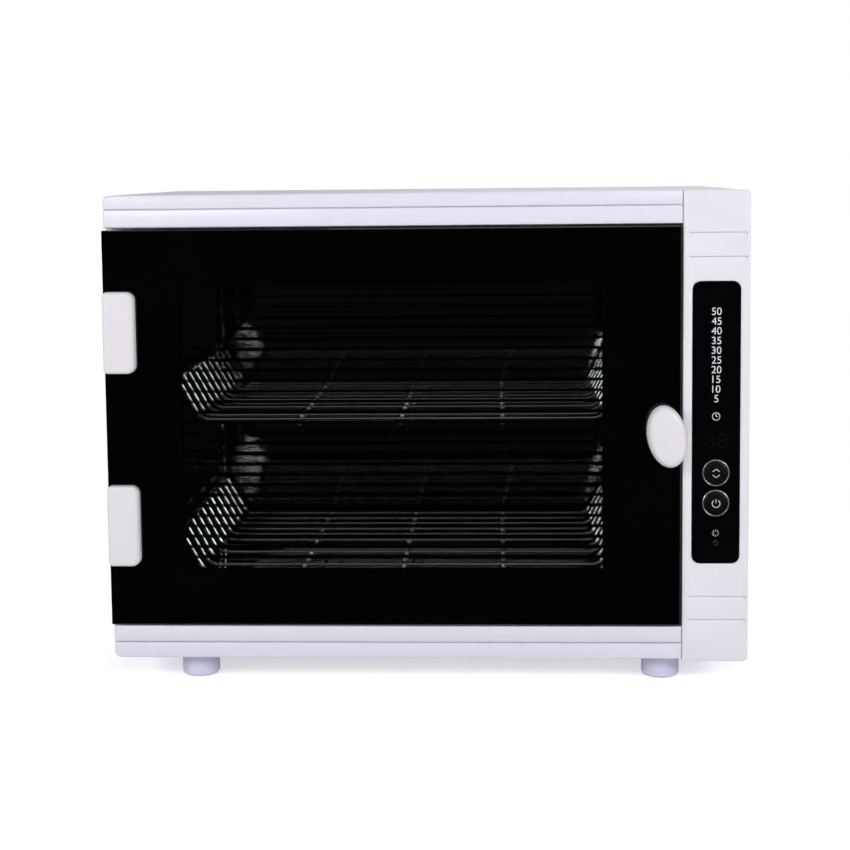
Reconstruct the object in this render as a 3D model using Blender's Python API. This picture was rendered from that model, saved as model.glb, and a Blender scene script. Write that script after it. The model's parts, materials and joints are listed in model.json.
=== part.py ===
"""Tabletop ultraviolet sterilizer cabinet with a side-hinged glass door and two wire baskets.

Metres, +Z up, the door faces -Y. The origin is on the surface that the feet stand on, below the
middle of the cabinet's outer box. Every place is worked out from the named sizes below.
"""

import math

import bmesh
import bpy
from mathutils import Matrix, Vector

# Whole cabinet
CABINET_WIDTH = 0.420
CABINET_DEPTH = 0.250  # front of the door glass to the outside of the back panel
BODY_HEIGHT = 0.307  # without the feet
SEAM = 0.0003  # gap left between pieces that touch
OVERRUN = 0.002  # how far a cutting shape runs past the face that it opens

# Painted steel case
SHELL_SHEET = 0.001
SHELL_CORNER_RADIUS = 0.003
SHELL_FLANGE_WIDTH = 0.012
BASE_SHEET = 0.0012
BASE_FLANGE_HEIGHT = 0.012
BACK_SHEET = 0.001
FRAME_SHEET = 0.0012
WIRE_PASS_WIDTH = 0.026
WIRE_PASS_HEIGHT = 0.036

# Back panel details
BACK_PANEL_MARGIN = 0.0008
VENT_COUNT = 6
VENT_LENGTH = 0.040
VENT_WIDTH = 0.003
VENT_PITCH = 0.008
VENT_DROP = 0.050  # top of the body to the highest vent
SCREW_SHANK_RADIUS = 0.0015
SCREW_HEAD_RADIUS = 0.003
SCREW_HEAD_HEIGHT = 0.0018
SCREW_LENGTH = 0.006
SCREW_EDGE_DISTANCE = 0.0075
SCREW_CORNER_DISTANCE = 0.022

# Stainless chamber
CHAMBER_LEFT_SPACE = 0.0365  # outside of the case to the inside of the chamber
CHAMBER_RIGHT_SPACE = 0.0715
CHAMBER_TOP_SPACE = 0.034
CHAMBER_BOTTOM_SPACE = 0.031
CHAMBER_REAR_SPACE = 0.018
CHAMBER_CORNER_RADIUS = 0.004
LINER_SHEET = 0.0008

# Plastic front: bezels and control panel
TOP_BEZEL_HEIGHT = 0.0211
TOP_BEZEL_GROOVE_DROP = 0.0093
BOTTOM_BEZEL_HEIGHT = 0.0216
BOTTOM_BEZEL_GROOVE_DROP = 0.0108
BEZEL_GROOVE_WIDTH = 0.001
BEZEL_GROOVE_DEPTH = 0.0016
BEZEL_SIDE_INSET = 0.0012  # left edge of the case to the left end of a bezel
BEZEL_CORNER_RADIUS = 0.004
FRONT_EDGE_RADIUS = 0.0012
PLASTIC_WALL = 0.0025
FACE_SETBACK = 0.0008  # plastic faces lie this far behind the glass face

# Control panel
PANEL_WIDTH = 0.043
PANEL_DROP = 0.0018  # how far the panel hangs below the bottom bezel
PANEL_CORNER_RADIUS = 0.003
PANEL_GROOVE_LENGTH = 0.0372
PANEL_GROOVE_DEPTH = 0.0016
PANEL_GROOVE_RUN = 0.004  # upper edge of a groove to where its slope meets the face
PANEL_GROOVE_INSET = 0.004  # seam to the start of a groove
UPPER_GROOVE_DROP = 0.0268  # top of the body to the upper edge of the first groove
LOWER_GROOVE_RISE = 0.0268  # bottom of the body to the upper edge of the last groove
PANEL_GROOVE_PITCH = 0.0155

# Label, buttons and what lies behind them
LABEL_WIDTH = 0.0308
LABEL_DROP = 0.0585  # top of the body to the top of the label
LABEL_RISE = 0.0641  # bottom of the body to the bottom of the label
LABEL_THICKNESS = 0.0008
LABEL_RECESS = 0.001
LABEL_CORNER_RADIUS = 0.005
BUTTON_RADIUS = 0.0076
BUTTON_STAND = 0.002  # how far a button stands in front of the panel face
BUTTON_TRAVEL = 0.0015
BUTTON_FLANGE_WIDTH = 0.001
BUTTON_FLANGE_HEIGHT = 0.0012
BUTTON_CROWN = 0.0004
BUTTON_EDGE_ROUND = 0.0005
BUTTON_PITCH = 0.0199
POWER_BUTTON_RISE = 0.0398  # bottom of the label to the lower button
RING_WALL = 0.0004
RING_LIP_WIDTH = 0.0005
RING_LIP_HEIGHT = 0.0007
RING_TAIL = 0.0011  # how far a ring reaches behind the panel wall
INDICATOR_RADIUS = 0.0015
INDICATOR_RISE = 0.0135
DISPLAY_WIDTH = 0.022
DISPLAY_HEIGHT = 0.012
DISPLAY_RISE = 0.081
BOARD_WIDTH = 0.030
BOARD_THICKNESS = 0.0016
BOARD_MARGIN = 0.007  # board past the lamp below and past the display above
KEY_SWITCH_WIDTH = 0.006
BOSS_RADIUS = 0.0022
BOSS_EDGE_DISTANCE = 0.003

# Glass door
GLASS_THICKNESS = 0.005
GLASS_EDGE_CHAMFER = 0.0006
DOOR_TOP_GAP = 0.0015
DOOR_BOTTOM_GAP = 0.001
DOOR_SIDE_GAP = 0.001

# Door hinges, upper and lower alike
HINGE_INSET = 0.0032  # left edge of the case to the hinge axis
HINGE_SETBACK = 0.005  # back of the glass to the hinge axis
HINGE_BARREL_RADIUS = 0.0029
HINGE_BARREL_LENGTH = 0.033
HINGE_FRAME_GAP = 0.0012
HINGE_PIN_RADIUS = 0.0015
HINGE_PIN_HEAD_RADIUS = 0.0024
HINGE_PIN_HEAD_HEIGHT = 0.001
HINGE_COVER_WIDTH = 0.021
HINGE_COVER_HEIGHT = 0.0535
HINGE_COVER_THICKNESS = 0.006
HINGE_COVER_INNER_RADIUS = 0.0055  # corners over the glass
HINGE_COVER_OUTER_RADIUS = 0.0028  # corners at the cabinet's side
HINGE_COVER_EDGE_ROUND = 0.0025
HINGE_WEB_LEFT = 0.0024  # hinge axis to the left face of the web that passes the glass
HINGE_WEB_RIGHT = 0.0006
HINGE_LEAF_WIDTH = 0.014
HINGE_LEAF_THICKNESS = 0.0014
HINGE_EAR_THICKNESS = 0.003
HINGE_EAR_LENGTH = 0.019
HINGE_BRACKET_SHEET = 0.0015
UPPER_HINGE_DROP = 0.0893  # top of the body to the middle of the upper hinge
LOWER_HINGE_RISE = 0.0899  # bottom of the body to the middle of the lower hinge

# Door knob, catch and seal
KNOB_LENGTH = 0.041
KNOB_WIDTH = 0.0254
KNOB_STAND = 0.013  # glass face to the front of the knob
KNOB_TILT = math.radians(-10.7)
KNOB_EDGE_DISTANCE = 0.0098  # middle of the knob to the free edge of the glass
KNOB_RISE = 0.1489
KNOB_SECTION_SHARES = ((0.84, 0.0), (0.95, 0.16), (1.0, 0.40), (0.985, 0.62), (0.92, 0.82), (0.80, 0.94))
KNOB_BORE_DEPTH = 0.008
KNOB_SCREW_RADIUS = 0.002
KNOB_SCREW_HEAD_RADIUS = 0.0038
KNOB_SCREW_HEAD_HEIGHT = 0.002
STRIKE_WIDTH = 0.010
STRIKE_HEIGHT = 0.022
STRIKE_THICKNESS = 0.001
CATCH_WIDTH = 0.012
CATCH_HEIGHT = 0.028
CATCH_DROP = 0.044  # middle of the knob to the middle of the catch
SENSOR_WIDTH = 0.006
SENSOR_LENGTH = 0.020
SEAL_WIDTH = 0.0075

# Wire baskets, upper and lower alike
BASKET_FRONT_GAP = 0.007
BASKET_BACK_GAP = 0.017
BASKET_WIRE_COUNT = 11
BASKET_WIRE_RADIUS = 0.00125
BASKET_RIM_RADIUS = 0.002
BASKET_CROSS_RADIUS = 0.0014
BASKET_BALL_RADIUS = 0.0021
BASKET_BALL_ARC = math.radians(144)  # from a ball's tip to where it meets its wire
BASKET_CROSS_SPACING = 0.068
BASKET_CROSS_COUNT = 3
BASKET_WELD = 0.0006  # how deep crossing wires are pressed together
BASKET_HEIGHT = 0.0275
BASKET_FLARE = math.radians(29)
BASKET_BEND_RADIUS = 0.010
BASKET_RIM_WALL_GAP = 0.0027
LOWER_BASKET_RISE = 0.022  # chamber floor to the lower basket's floor wires
UPPER_BASKET_DROP = 0.1165  # chamber ceiling to the upper basket's floor wires

# Rails that the basket rims slide on
RAIL_SHEET = 0.001
RAIL_FLANGE_HEIGHT = 0.010
RAIL_FRONT_GAP = 0.006
RAIL_WIRE_GAP = 0.0005

# Lamps under the chamber ceiling
LAMP_RADIUS = 0.0078
LAMP_CAP_RADIUS = 0.008
LAMP_CAP_LENGTH = 0.009
LAMP_PIN_RADIUS = 0.0012
LAMP_PIN_LENGTH = 0.0066
LAMP_PIN_SPACING = 0.0048
LAMP_DROP = 0.016  # chamber ceiling to the lamp's middle
LAMP_END_DISTANCE = 0.0632  # chamber's front to the front lamp, and its back to the rear lamp
HOLDER_THICKNESS = 0.0112
HOLDER_WIDTH = 0.022
HOLDER_HEIGHT = 0.026

# Mains side of the service bay
BALLAST_WIDTH = 0.034
BALLAST_HEIGHT = 0.024
BALLAST_GAP = 0.016
BALLAST_EDGE_ROUND = 0.0015
INLET_FLANGE_WIDTH = 0.050
INLET_FLANGE_HEIGHT = 0.023
INLET_FLANGE_THICKNESS = 0.0025
INLET_CORNER_RADIUS = 0.004
INLET_BODY_WIDTH = 0.0274
INLET_BODY_HEIGHT = 0.020
INLET_BODY_DEPTH = 0.024
INLET_SOCKET_WIDTH = 0.0236
INLET_SOCKET_HEIGHT = 0.0162
INLET_SOCKET_DEPTH = 0.017
INLET_RISE = 0.050  # bottom of the body to the middle of the inlet
BLADE_THICKNESS = 0.002
BLADE_HEIGHT = 0.004
BLADE_SPACING = 0.007
BLADE_EARTH_RAISE = 0.004
BLADE_SETBACK = 0.003  # blade tips lie this far inside the socket mouth
BLADE_TAIL = 0.005

# Feet
FOOT_HEIGHT = 0.0165
FOOT_RADIUS = 0.0125
FOOT_EDGE_RADIUS = 0.003
FOOT_RECESS_RADIUS = 0.0056
FOOT_RECESS_DEPTH = 0.006
FOOT_SIDE_DISTANCE = 0.055
FOOT_FRONT_DISTANCE = 0.024
FOOT_REAR_DISTANCE = 0.030
FOOT_SCREW_RADIUS = 0.002
FOOT_SCREW_HEAD_RADIUS = 0.0045
FOOT_SCREW_HEAD_HEIGHT = 0.003
FOOT_SCREW_REACH = 0.004  # thread above the base plate

# How finely round shapes are divided
ROUND_SIDES = 24
SMALL_ROUND_SIDES = 12
WIRE_SIDES = 6
CORNER_STEPS = 4
BEND_STEPS = 3
EDGE_STEPS = 2
MERGE_DISTANCE = 0.000001

# Front to back
inlet_reach = SEAM + INLET_FLANGE_THICKNESS
outer_depth = KNOB_STAND + CABINET_DEPTH + inlet_reach
glass_front = -outer_depth / 2 + KNOB_STAND
glass_back = glass_front + GLASS_THICKNESS
face_front = glass_front + FACE_SETBACK
hinge_y = glass_back + HINGE_SETBACK
frame_front = hinge_y + HINGE_BARREL_RADIUS + HINGE_FRAME_GAP
frame_back = frame_front + FRAME_SHEET
plastic_back = frame_front - SEAM
back_outside = glass_front + CABINET_DEPTH
back_inside = back_outside - BACK_SHEET
shell_back = back_inside - SEAM
flange_front = shell_back - SHELL_SHEET
chamber_front = frame_back + SEAM
chamber_back = back_inside - CHAMBER_REAR_SPACE - LINER_SHEET

# Side to side
left = -CABINET_WIDTH / 2
right = CABINET_WIDTH / 2
inner_left = left + SHELL_SHEET + SEAM
inner_right = right - SHELL_SHEET - SEAM
seam_x = right - PANEL_WIDTH
glass_right = seam_x - DOOR_SIDE_GAP
hinge_x = left + HINGE_INSET
chamber_left = left + CHAMBER_LEFT_SPACE
chamber_right = right - CHAMBER_RIGHT_SPACE
chamber_middle = (chamber_left + chamber_right) / 2
bay_middle = (chamber_right + LINER_SHEET + inner_right) / 2
panel_middle = (seam_x + right) / 2

# Bottom to top
body_bottom = FOOT_HEIGHT + SEAM
body_top = body_bottom + BODY_HEIGHT
base_top = body_bottom + BASE_SHEET
frame_bottom = base_top + SEAM
frame_top = body_top - SHELL_SHEET - SEAM
glass_bottom = body_bottom + BOTTOM_BEZEL_HEIGHT + DOOR_BOTTOM_GAP
glass_top = body_top - TOP_BEZEL_HEIGHT - DOOR_TOP_GAP
chamber_floor = body_bottom + CHAMBER_BOTTOM_SPACE
chamber_ceiling = body_top - CHAMBER_TOP_SPACE
label_bottom = body_bottom + LABEL_RISE
label_top = body_top - LABEL_DROP
power_button_z = label_bottom + POWER_BUTTON_RISE
select_button_z = power_button_z + BUTTON_PITCH
indicator_z = label_bottom + INDICATOR_RISE
display_z = label_bottom + DISPLAY_RISE
knob_x = glass_right - KNOB_EDGE_DISTANCE
knob_z = body_bottom + KNOB_RISE
catch_z = knob_z - CATCH_DROP

# Layers behind the control panel's face
recess_floor = face_front + LABEL_RECESS
label_back = recess_floor - SEAM
label_front = label_back - LABEL_THICKNESS
wall_back = face_front + PLASTIC_WALL
ring_back = wall_back + RING_TAIL
button_front = face_front - BUTTON_STAND
button_back = ring_back + SEAM + BUTTON_FLANGE_HEIGHT
key_switch_front = button_back + BUTTON_TRAVEL + SEAM
board_back = plastic_back - SEAM
board_front = board_back - BOARD_THICKNESS


def new_shape():
    """An empty mesh to build a shape in."""
    return bmesh.new()


def tidy(shape):
    """Closes the seams of a shape and turns all its faces outwards."""
    bmesh.ops.remove_doubles(shape, verts=shape.verts, dist=MERGE_DISTANCE)
    bmesh.ops.recalc_face_normals(shape, faces=shape.faces)
    return shape


def blocks(*boxes):
    """One or more boxes that don't touch, each as (low x, high x), (low y, high y), (low z, high z)."""
    shape = new_shape()
    for x, y, z in boxes:
        size = Vector((x[1] - x[0], y[1] - y[0], z[1] - z[0]))
        middle = Vector((x[0] + x[1], y[0] + y[1], z[0] + z[1])) / 2
        place = Matrix.Translation(middle) @ Matrix.Diagonal(size).to_4x4()
        bmesh.ops.create_cube(shape, size=1, matrix=place)
    return tidy(shape)


def around(middle, size):
    """The two ends of a stretch that has its middle here."""
    return middle - size / 2, middle + size / 2


def rounded_rectangle(across, up, radii, steps=CORNER_STEPS):
    """Outline of a rectangle with its corners rounded: low left, low right, high right, high left."""
    corners = ((0, 0), (1, 0), (1, 1), (0, 1))
    outline = []
    for turn, ((side, level), radius) in enumerate(zip(corners, radii)):
        corner = Vector((across[side], up[level]))
        if radius == 0:
            outline.append(corner)
            continue
        inward = Vector((1 - 2 * side, 1 - 2 * level)) * radius
        for step in range(steps + 1):
            angle = math.pi + (turn + step / steps) * math.pi / 2
            outline.append(corner + inward + radius * Vector((math.cos(angle), math.sin(angle))))
    return outline


def drawn_out(outline, start, end, lift):
    """An outline drawn out from start to end. lift turns a point and a distance into a place."""
    shape = new_shape()
    ring = [shape.verts.new(lift(point, start)) for point in outline]
    face = shape.faces.new(ring)
    moved = bmesh.ops.extrude_face_region(shape, geom=[face])["geom"]
    travel = Vector(lift(outline[0], end)) - Vector(lift(outline[0], start))
    bmesh.ops.translate(shape, vec=travel, verts=[v for v in moved if isinstance(v, bmesh.types.BMVert)])
    return tidy(shape)


def front_outline(point, depth):
    """A point drawn on the front of the cabinet, at a depth."""
    return point[0], depth, point[1]


def floor_outline(point, height):
    """A point drawn on the floor, at a height."""
    return point[0], point[1], height


def side_outline(point, across):
    """A point drawn on the side of the cabinet, at a place across it."""
    return across, point[0], point[1]


def plate(across, up, depth, radii, edge_radius=0):
    """A plate that faces the front, with rounded corners and, if asked, a rounded front edge."""
    shape = drawn_out(rounded_rectangle(across, up, radii), depth[0], depth[1], front_outline)
    if edge_radius > 0:
        round_front_edge(shape, depth[0], edge_radius)
    return shape


def round_front_edge(shape, front, radius):
    """Rounds the edge all round the face that lies at the front."""
    rim = [edge for edge in shape.edges if all(abs(v.co.y - front) < MERGE_DISTANCE for v in edge.verts)]
    bmesh.ops.bevel(shape, geom=rim, offset=radius, segments=EDGE_STEPS, profile=0.5, affect="EDGES")
    tidy(shape)


def turned(profile, centre, axis, sides=ROUND_SIDES):
    """A profile of (radius, distance along the axis) turned round a line through the centre."""
    shape = new_shape()
    places = [shape.verts.new((radius, 0, along)) for radius, along in profile]
    edges = [shape.edges.new(pair) for pair in zip(places, places[1:])]
    bmesh.ops.spin(shape, geom=places + edges, cent=(0, 0, 0), axis=(0, 0, 1), angle=2 * math.pi,
                   steps=sides, use_merge=True, use_duplicate=False)
    turn = {"X": Matrix.Rotation(math.pi / 2, 4, "Y"), "Y": Matrix.Rotation(-math.pi / 2, 4, "X"),
            "Z": Matrix.Identity(4)}[axis]
    bmesh.ops.transform(shape, matrix=Matrix.Translation(centre) @ turn, verts=shape.verts)
    return tidy(shape)


def rod(centre, axis, radius, start, end, sides=SMALL_ROUND_SIDES):
    """A plain round bar along an axis, between two distances from the centre."""
    return turned([(0, start), (radius, start), (radius, end), (0, end)], centre, axis, sides)


def gather(shapes):
    """One mesh with several shapes in it that don't touch each other."""
    whole = new_shape()
    for shape in shapes:
        mesh = bpy.data.meshes.new("gathered")
        shape.to_mesh(mesh)
        shape.free()
        whole.from_mesh(mesh)
        bpy.data.meshes.remove(mesh)
    return whole


def finish(name, colour, roughness, metallic=0.0, alpha=1.0):
    """A material with one Principled BSDF."""
    material = bpy.data.materials.new(name)
    material.use_nodes = True
    shader = material.node_tree.nodes["Principled BSDF"]
    shader.inputs["Base Color"].default_value = (*colour, 1.0)
    shader.inputs["Roughness"].default_value = roughness
    shader.inputs["Metallic"].default_value = metallic
    shader.inputs["Alpha"].default_value = alpha
    return material


def add_part(name, shape, material, origin=(0, 0, 0), holder=None, smooth=False):
    """Makes an object of a shape, with its origin where asked, and hangs it on its holder."""
    bmesh.ops.translate(shape, vec=-Vector(origin), verts=shape.verts)
    mesh = bpy.data.meshes.new(name)
    shape.to_mesh(mesh)
    shape.free()
    if smooth:
        mesh.shade_smooth()
        mesh.set_sharp_from_angle(angle=math.radians(40))
    if material:
        mesh.materials.append(material)
    part = bpy.data.objects.new(name, mesh)
    bpy.context.scene.collection.objects.link(part)
    part.location = origin
    if holder:
        part.parent = holder
        part.location = Vector(origin) - holder.location
    return part


def add_axis(name, place):
    """An empty on a joint's axis, which the moving pieces hang on."""
    axis = bpy.data.objects.new(name, None)
    axis.location = place
    bpy.context.scene.collection.objects.link(axis)
    return axis


def combine(part, shape, operation):
    """Cuts a shape out of a part, or joins it on, with a Boolean modifier and a hidden tool."""
    tool = add_part(f"{part.name}_{operation.lower()}_tool", shape, None)
    tool.hide_render = True
    tool.display_type = "WIRE"
    change = part.modifiers.new(operation.title(), "BOOLEAN")
    change.operation = operation
    change.object = tool
    change.solver = "EXACT"


def cut(part, shape):
    """Takes a shape out of a part."""
    combine(part, shape, "DIFFERENCE")


def join(part, shape):
    """Joins a shape to a part."""
    combine(part, shape, "UNION")


def u_outline(inset):
    """Outline of the case's bent sheet seen from the front: two sides and the top, open below."""
    across = (left + inset, right - inset)
    radius = SHELL_CORNER_RADIUS - inset
    return rounded_rectangle(across, (body_bottom, body_top - inset), (0, 0, radius, radius))


def make_outer_shell(paint):
    """Left side, top and right side bent from one sheet, with flanges turned in at the back."""
    shell = add_part("outer_shell", drawn_out(u_outline(0), frame_front, shell_back, front_outline), paint)
    inside = rounded_rectangle(
        (left + SHELL_SHEET, right - SHELL_SHEET), (body_bottom - OVERRUN, body_top - SHELL_SHEET),
        (0, 0, SHELL_CORNER_RADIUS - SHELL_SHEET, SHELL_CORNER_RADIUS - SHELL_SHEET))
    cut(shell, drawn_out(inside, frame_front - OVERRUN, flange_front, front_outline))
    window = ((left + SHELL_FLANGE_WIDTH, right - SHELL_FLANGE_WIDTH),
              (flange_front - OVERRUN, shell_back + OVERRUN),
              (body_bottom - OVERRUN, body_top - SHELL_FLANGE_WIDTH))
    cut(shell, blocks(window))
    cut(shell, gather(rod((x, 0, z), "Y", SCREW_SHANK_RADIUS + SEAM, flange_front - OVERRUN,
                          shell_back + OVERRUN) for x, z in back_screw_places()))


def back_screw_places():
    """Where the four screws hold the back panel on the case's flanges."""
    return [(x, z) for z in (body_bottom + SCREW_CORNER_DISTANCE, body_top - SCREW_CORNER_DISTANCE)
            for x in (left + SCREW_EDGE_DISTANCE, right - SCREW_EDGE_DISTANCE)]


def make_back_panel(paint):
    """Flat sheet over the case's back, with vent slots and the cut-out for the power inlet."""
    corner = SHELL_CORNER_RADIUS - BACK_PANEL_MARGIN
    panel = add_part("back_panel", plate((left + BACK_PANEL_MARGIN, right - BACK_PANEL_MARGIN),
                                         (body_bottom, body_top - BACK_PANEL_MARGIN),
                                         (back_inside, back_outside), (0, 0, corner, corner)), paint)
    through = (back_inside - OVERRUN, back_outside + OVERRUN)
    holes = [rod((x, 0, z), "Y", SCREW_SHANK_RADIUS + SEAM, *through) for x, z in back_screw_places()]
    vent_top = body_top - VENT_DROP
    holes.append(blocks(*[(around(bay_middle, VENT_LENGTH), through,
                           around(vent_top - number * VENT_PITCH, VENT_WIDTH))
                          for number in range(VENT_COUNT)]))
    holes.append(blocks((around(bay_middle, INLET_BODY_WIDTH + 2 * SEAM), through,
                         around(body_bottom + INLET_RISE, INLET_BODY_HEIGHT + 2 * SEAM))))
    cut(panel, gather(holes))


def make_back_screws(steel):
    """Four pan-head screws through the back panel into the case's flanges."""
    head_seat = back_outside + SEAM
    for number, (x, z) in enumerate(back_screw_places(), start=1):
        profile = [(0, head_seat - SCREW_LENGTH), (SCREW_SHANK_RADIUS, head_seat - SCREW_LENGTH),
                   (SCREW_SHANK_RADIUS, head_seat), (SCREW_HEAD_RADIUS, head_seat),
                   (SCREW_HEAD_RADIUS, head_seat + SCREW_HEAD_HEIGHT / 2),
                   (SCREW_HEAD_RADIUS - SCREW_HEAD_HEIGHT / 2, head_seat + SCREW_HEAD_HEIGHT),
                   (0, head_seat + SCREW_HEAD_HEIGHT)]
        add_part(f"back_screw_{number}", turned(profile, (x, 0, z), "Y", SMALL_ROUND_SIDES), steel,
                 smooth=True)


def foot_places():
    """Name and middle of each foot."""
    return {f"{row}_{side}": (x, y)
            for row, y in (("front", glass_front + FOOT_FRONT_DISTANCE),
                           ("rear", back_outside - FOOT_REAR_DISTANCE))
            for side, x in (("left", left + FOOT_SIDE_DISTANCE), ("right", right - FOOT_SIDE_DISTANCE))}


def make_base_plate(paint):
    """Tray that closes the case below, with its sides turned up and holes for the foot screws."""
    depth = (frame_front, flange_front - SEAM)
    plate_box = ((inner_left, inner_right), depth, (body_bottom, base_top + BASE_FLANGE_HEIGHT))
    base = add_part("base_plate", blocks(plate_box), paint)
    hollow = ((inner_left + BASE_SHEET, inner_right - BASE_SHEET), (depth[0] - OVERRUN, depth[1] + OVERRUN),
              (base_top, base_top + BASE_FLANGE_HEIGHT + OVERRUN))
    cut(base, blocks(hollow))
    cut(base, gather(rod((x, y, 0), "Z", FOOT_SCREW_RADIUS + SEAM, body_bottom - OVERRUN, base_top + OVERRUN)
                     for x, y in foot_places().values()))


def make_front_frame(paint):
    """Steel plate behind the plastic front, with the chamber's mouth and a hole for the wiring."""
    side_gap = BASE_SHEET + SEAM
    corner = SHELL_CORNER_RADIUS - SHELL_SHEET - SEAM
    frame = add_part("front_frame", plate((inner_left, inner_right), (frame_bottom, frame_top),
                                          (frame_front, frame_back), (0, 0, corner, corner)), paint)
    through = (frame_front - OVERRUN, frame_back + OVERRUN)
    mouth = ((chamber_left, chamber_right), through, (chamber_floor, chamber_ceiling))
    wire_pass = (around(panel_middle, WIRE_PASS_WIDTH), through, around(display_z, WIRE_PASS_HEIGHT))
    cut(frame, blocks(mouth, wire_pass))
    notch_height = (frame_bottom - OVERRUN, base_top + BASE_FLANGE_HEIGHT + SEAM)
    cut(frame, blocks(((inner_left - OVERRUN, inner_left + side_gap), through, notch_height),
                      ((inner_right - side_gap, inner_right + OVERRUN), through, notch_height)))


def chamber_outline(grow):
    """Floor outline of the chamber, with round back corners, grown outwards by a wall."""
    radius = CHAMBER_CORNER_RADIUS + grow
    return rounded_rectangle((chamber_left - grow, chamber_right + grow), (chamber_front, chamber_back + grow),
                             (0, 0, radius, radius), CORNER_STEPS * 2)


def make_chamber_liner(steel):
    """Polished box that is open to the front, its back and sides bent from one sheet."""
    outside = drawn_out(chamber_outline(LINER_SHEET), chamber_floor - LINER_SHEET,
                        chamber_ceiling + LINER_SHEET, floor_outline)
    liner = add_part("chamber_liner", outside, steel)
    inside = [point if point[1] > chamber_front else point - Vector((0, OVERRUN))
              for point in chamber_outline(0)]
    cut(liner, drawn_out(inside, chamber_floor, chamber_ceiling, floor_outline))


def make_bezel(name, plastic, up, groove_z, radii):
    """Hollow plastic strip over the case's front edge, with one groove along it."""
    across = (left + BEZEL_SIDE_INSET, seam_x - SEAM)
    bezel = add_part(name, plate(across, up, (face_front, plastic_back), radii, FRONT_EDGE_RADIUS), plastic)
    cut(bezel, blocks(((across[0] + PLASTIC_WALL, across[1] - PLASTIC_WALL),
                       (face_front + PLASTIC_WALL, plastic_back + OVERRUN),
                       (up[0] + PLASTIC_WALL, up[1] - PLASTIC_WALL))))
    cut(bezel, blocks(((left - OVERRUN, seam_x + OVERRUN),
                       (face_front - OVERRUN, face_front + BEZEL_GROOVE_DEPTH),
                       around(groove_z, BEZEL_GROOVE_WIDTH))))


def make_bezels(plastic):
    """Plastic strips above and below the door."""
    make_bezel("top_bezel", plastic, (body_top - TOP_BEZEL_HEIGHT, body_top),
               body_top - TOP_BEZEL_GROOVE_DROP, (0, 0, 0, BEZEL_CORNER_RADIUS))
    make_bezel("bottom_bezel", plastic, (body_bottom, body_bottom + BOTTOM_BEZEL_HEIGHT),
               body_bottom + BOTTOM_BEZEL_GROOVE_DROP, (BEZEL_CORNER_RADIUS, 0, 0, 0))


def button_places():
    """Name and height of each button."""
    return {"select_button": select_button_z, "power_button": power_button_z}


def board_span():
    """Lowest and highest edge of the circuit board."""
    return indicator_z - BOARD_MARGIN, display_z + DISPLAY_HEIGHT / 2 + BOARD_MARGIN


def make_control_panel(plastic):
    """Hollow plastic housing to the right of the door, with grooves and a recess for the label."""
    up = (body_bottom - PANEL_DROP, body_top)
    radii = (0, PANEL_CORNER_RADIUS, PANEL_CORNER_RADIUS, 0)
    panel = add_part("control_panel", plate((seam_x, right), up, (face_front, plastic_back), radii,
                                            FRONT_EDGE_RADIUS), plastic)
    cut(panel, blocks(((seam_x + PLASTIC_WALL, right - PLASTIC_WALL), (wall_back, plastic_back + OVERRUN),
                       (up[0] + PLASTIC_WALL, up[1] - PLASTIC_WALL))))
    cut(panel, plate(around(panel_middle, LABEL_WIDTH + 2 * SEAM),
                     (label_bottom - SEAM, label_top + SEAM),
                     (face_front - OVERRUN, recess_floor), (LABEL_CORNER_RADIUS + SEAM,) * 4))
    through = (face_front - OVERRUN, wall_back + OVERRUN)
    cut(panel, gather([*button_holes(through), indicator_hole(through),
                       blocks((around(panel_middle, DISPLAY_WIDTH + 2 * SEAM), through,
                               around(display_z, DISPLAY_HEIGHT + 2 * SEAM)))]))
    first = body_top - UPPER_GROOVE_DROP
    last = body_bottom + LOWER_GROOVE_RISE
    cut(panel, gather(panel_groove(height) for height in (first, first - PANEL_GROOVE_PITCH,
                                                          last + PANEL_GROOVE_PITCH, last)))
    board_low, board_high = board_span()
    boss_reach = BOARD_WIDTH / 2 - BOSS_EDGE_DISTANCE
    join(panel, gather(rod((x, 0, z), "Y", BOSS_RADIUS, wall_back - SEAM, board_front - SEAM)
                       for x in (panel_middle - boss_reach, panel_middle + boss_reach)
                       for z in (board_low + BOSS_EDGE_DISTANCE, board_high - BOSS_EDGE_DISTANCE)))


def panel_groove(top):
    """Cutting shape of a groove that is deep below its upper edge and slopes out to the panel's face."""
    mouth = face_front - OVERRUN
    slope_end = top - PANEL_GROOVE_RUN * (PANEL_GROOVE_DEPTH + OVERRUN) / PANEL_GROOVE_DEPTH
    outline = ((mouth, top), (face_front + PANEL_GROOVE_DEPTH, top), (mouth, slope_end))
    start = seam_x + PANEL_GROOVE_INSET
    return drawn_out(outline, start, start + PANEL_GROOVE_LENGTH, side_outline)


def button_holes(depth):
    """Round holes that the button rings sit in."""
    radius = BUTTON_RADIUS + SEAM + RING_WALL + SEAM
    return [rod((panel_middle, 0, z), "Y", radius, *depth, ROUND_SIDES) for z in button_places().values()]


def indicator_hole(depth):
    """Round hole for the indicator lamp's lens."""
    return rod((panel_middle, 0, indicator_z), "Y", INDICATOR_RADIUS + SEAM, *depth)


def make_label(film):
    """Dark film in the panel's recess, with holes for the rings and the indicator."""
    label = add_part("panel_label", plate(around(panel_middle, LABEL_WIDTH), (label_bottom, label_top),
                                          (label_front, label_back), (LABEL_CORNER_RADIUS,) * 4), film)
    through = (label_front - OVERRUN, label_back + OVERRUN)
    cut(label, gather([*button_holes(through), indicator_hole(through)]))


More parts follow.
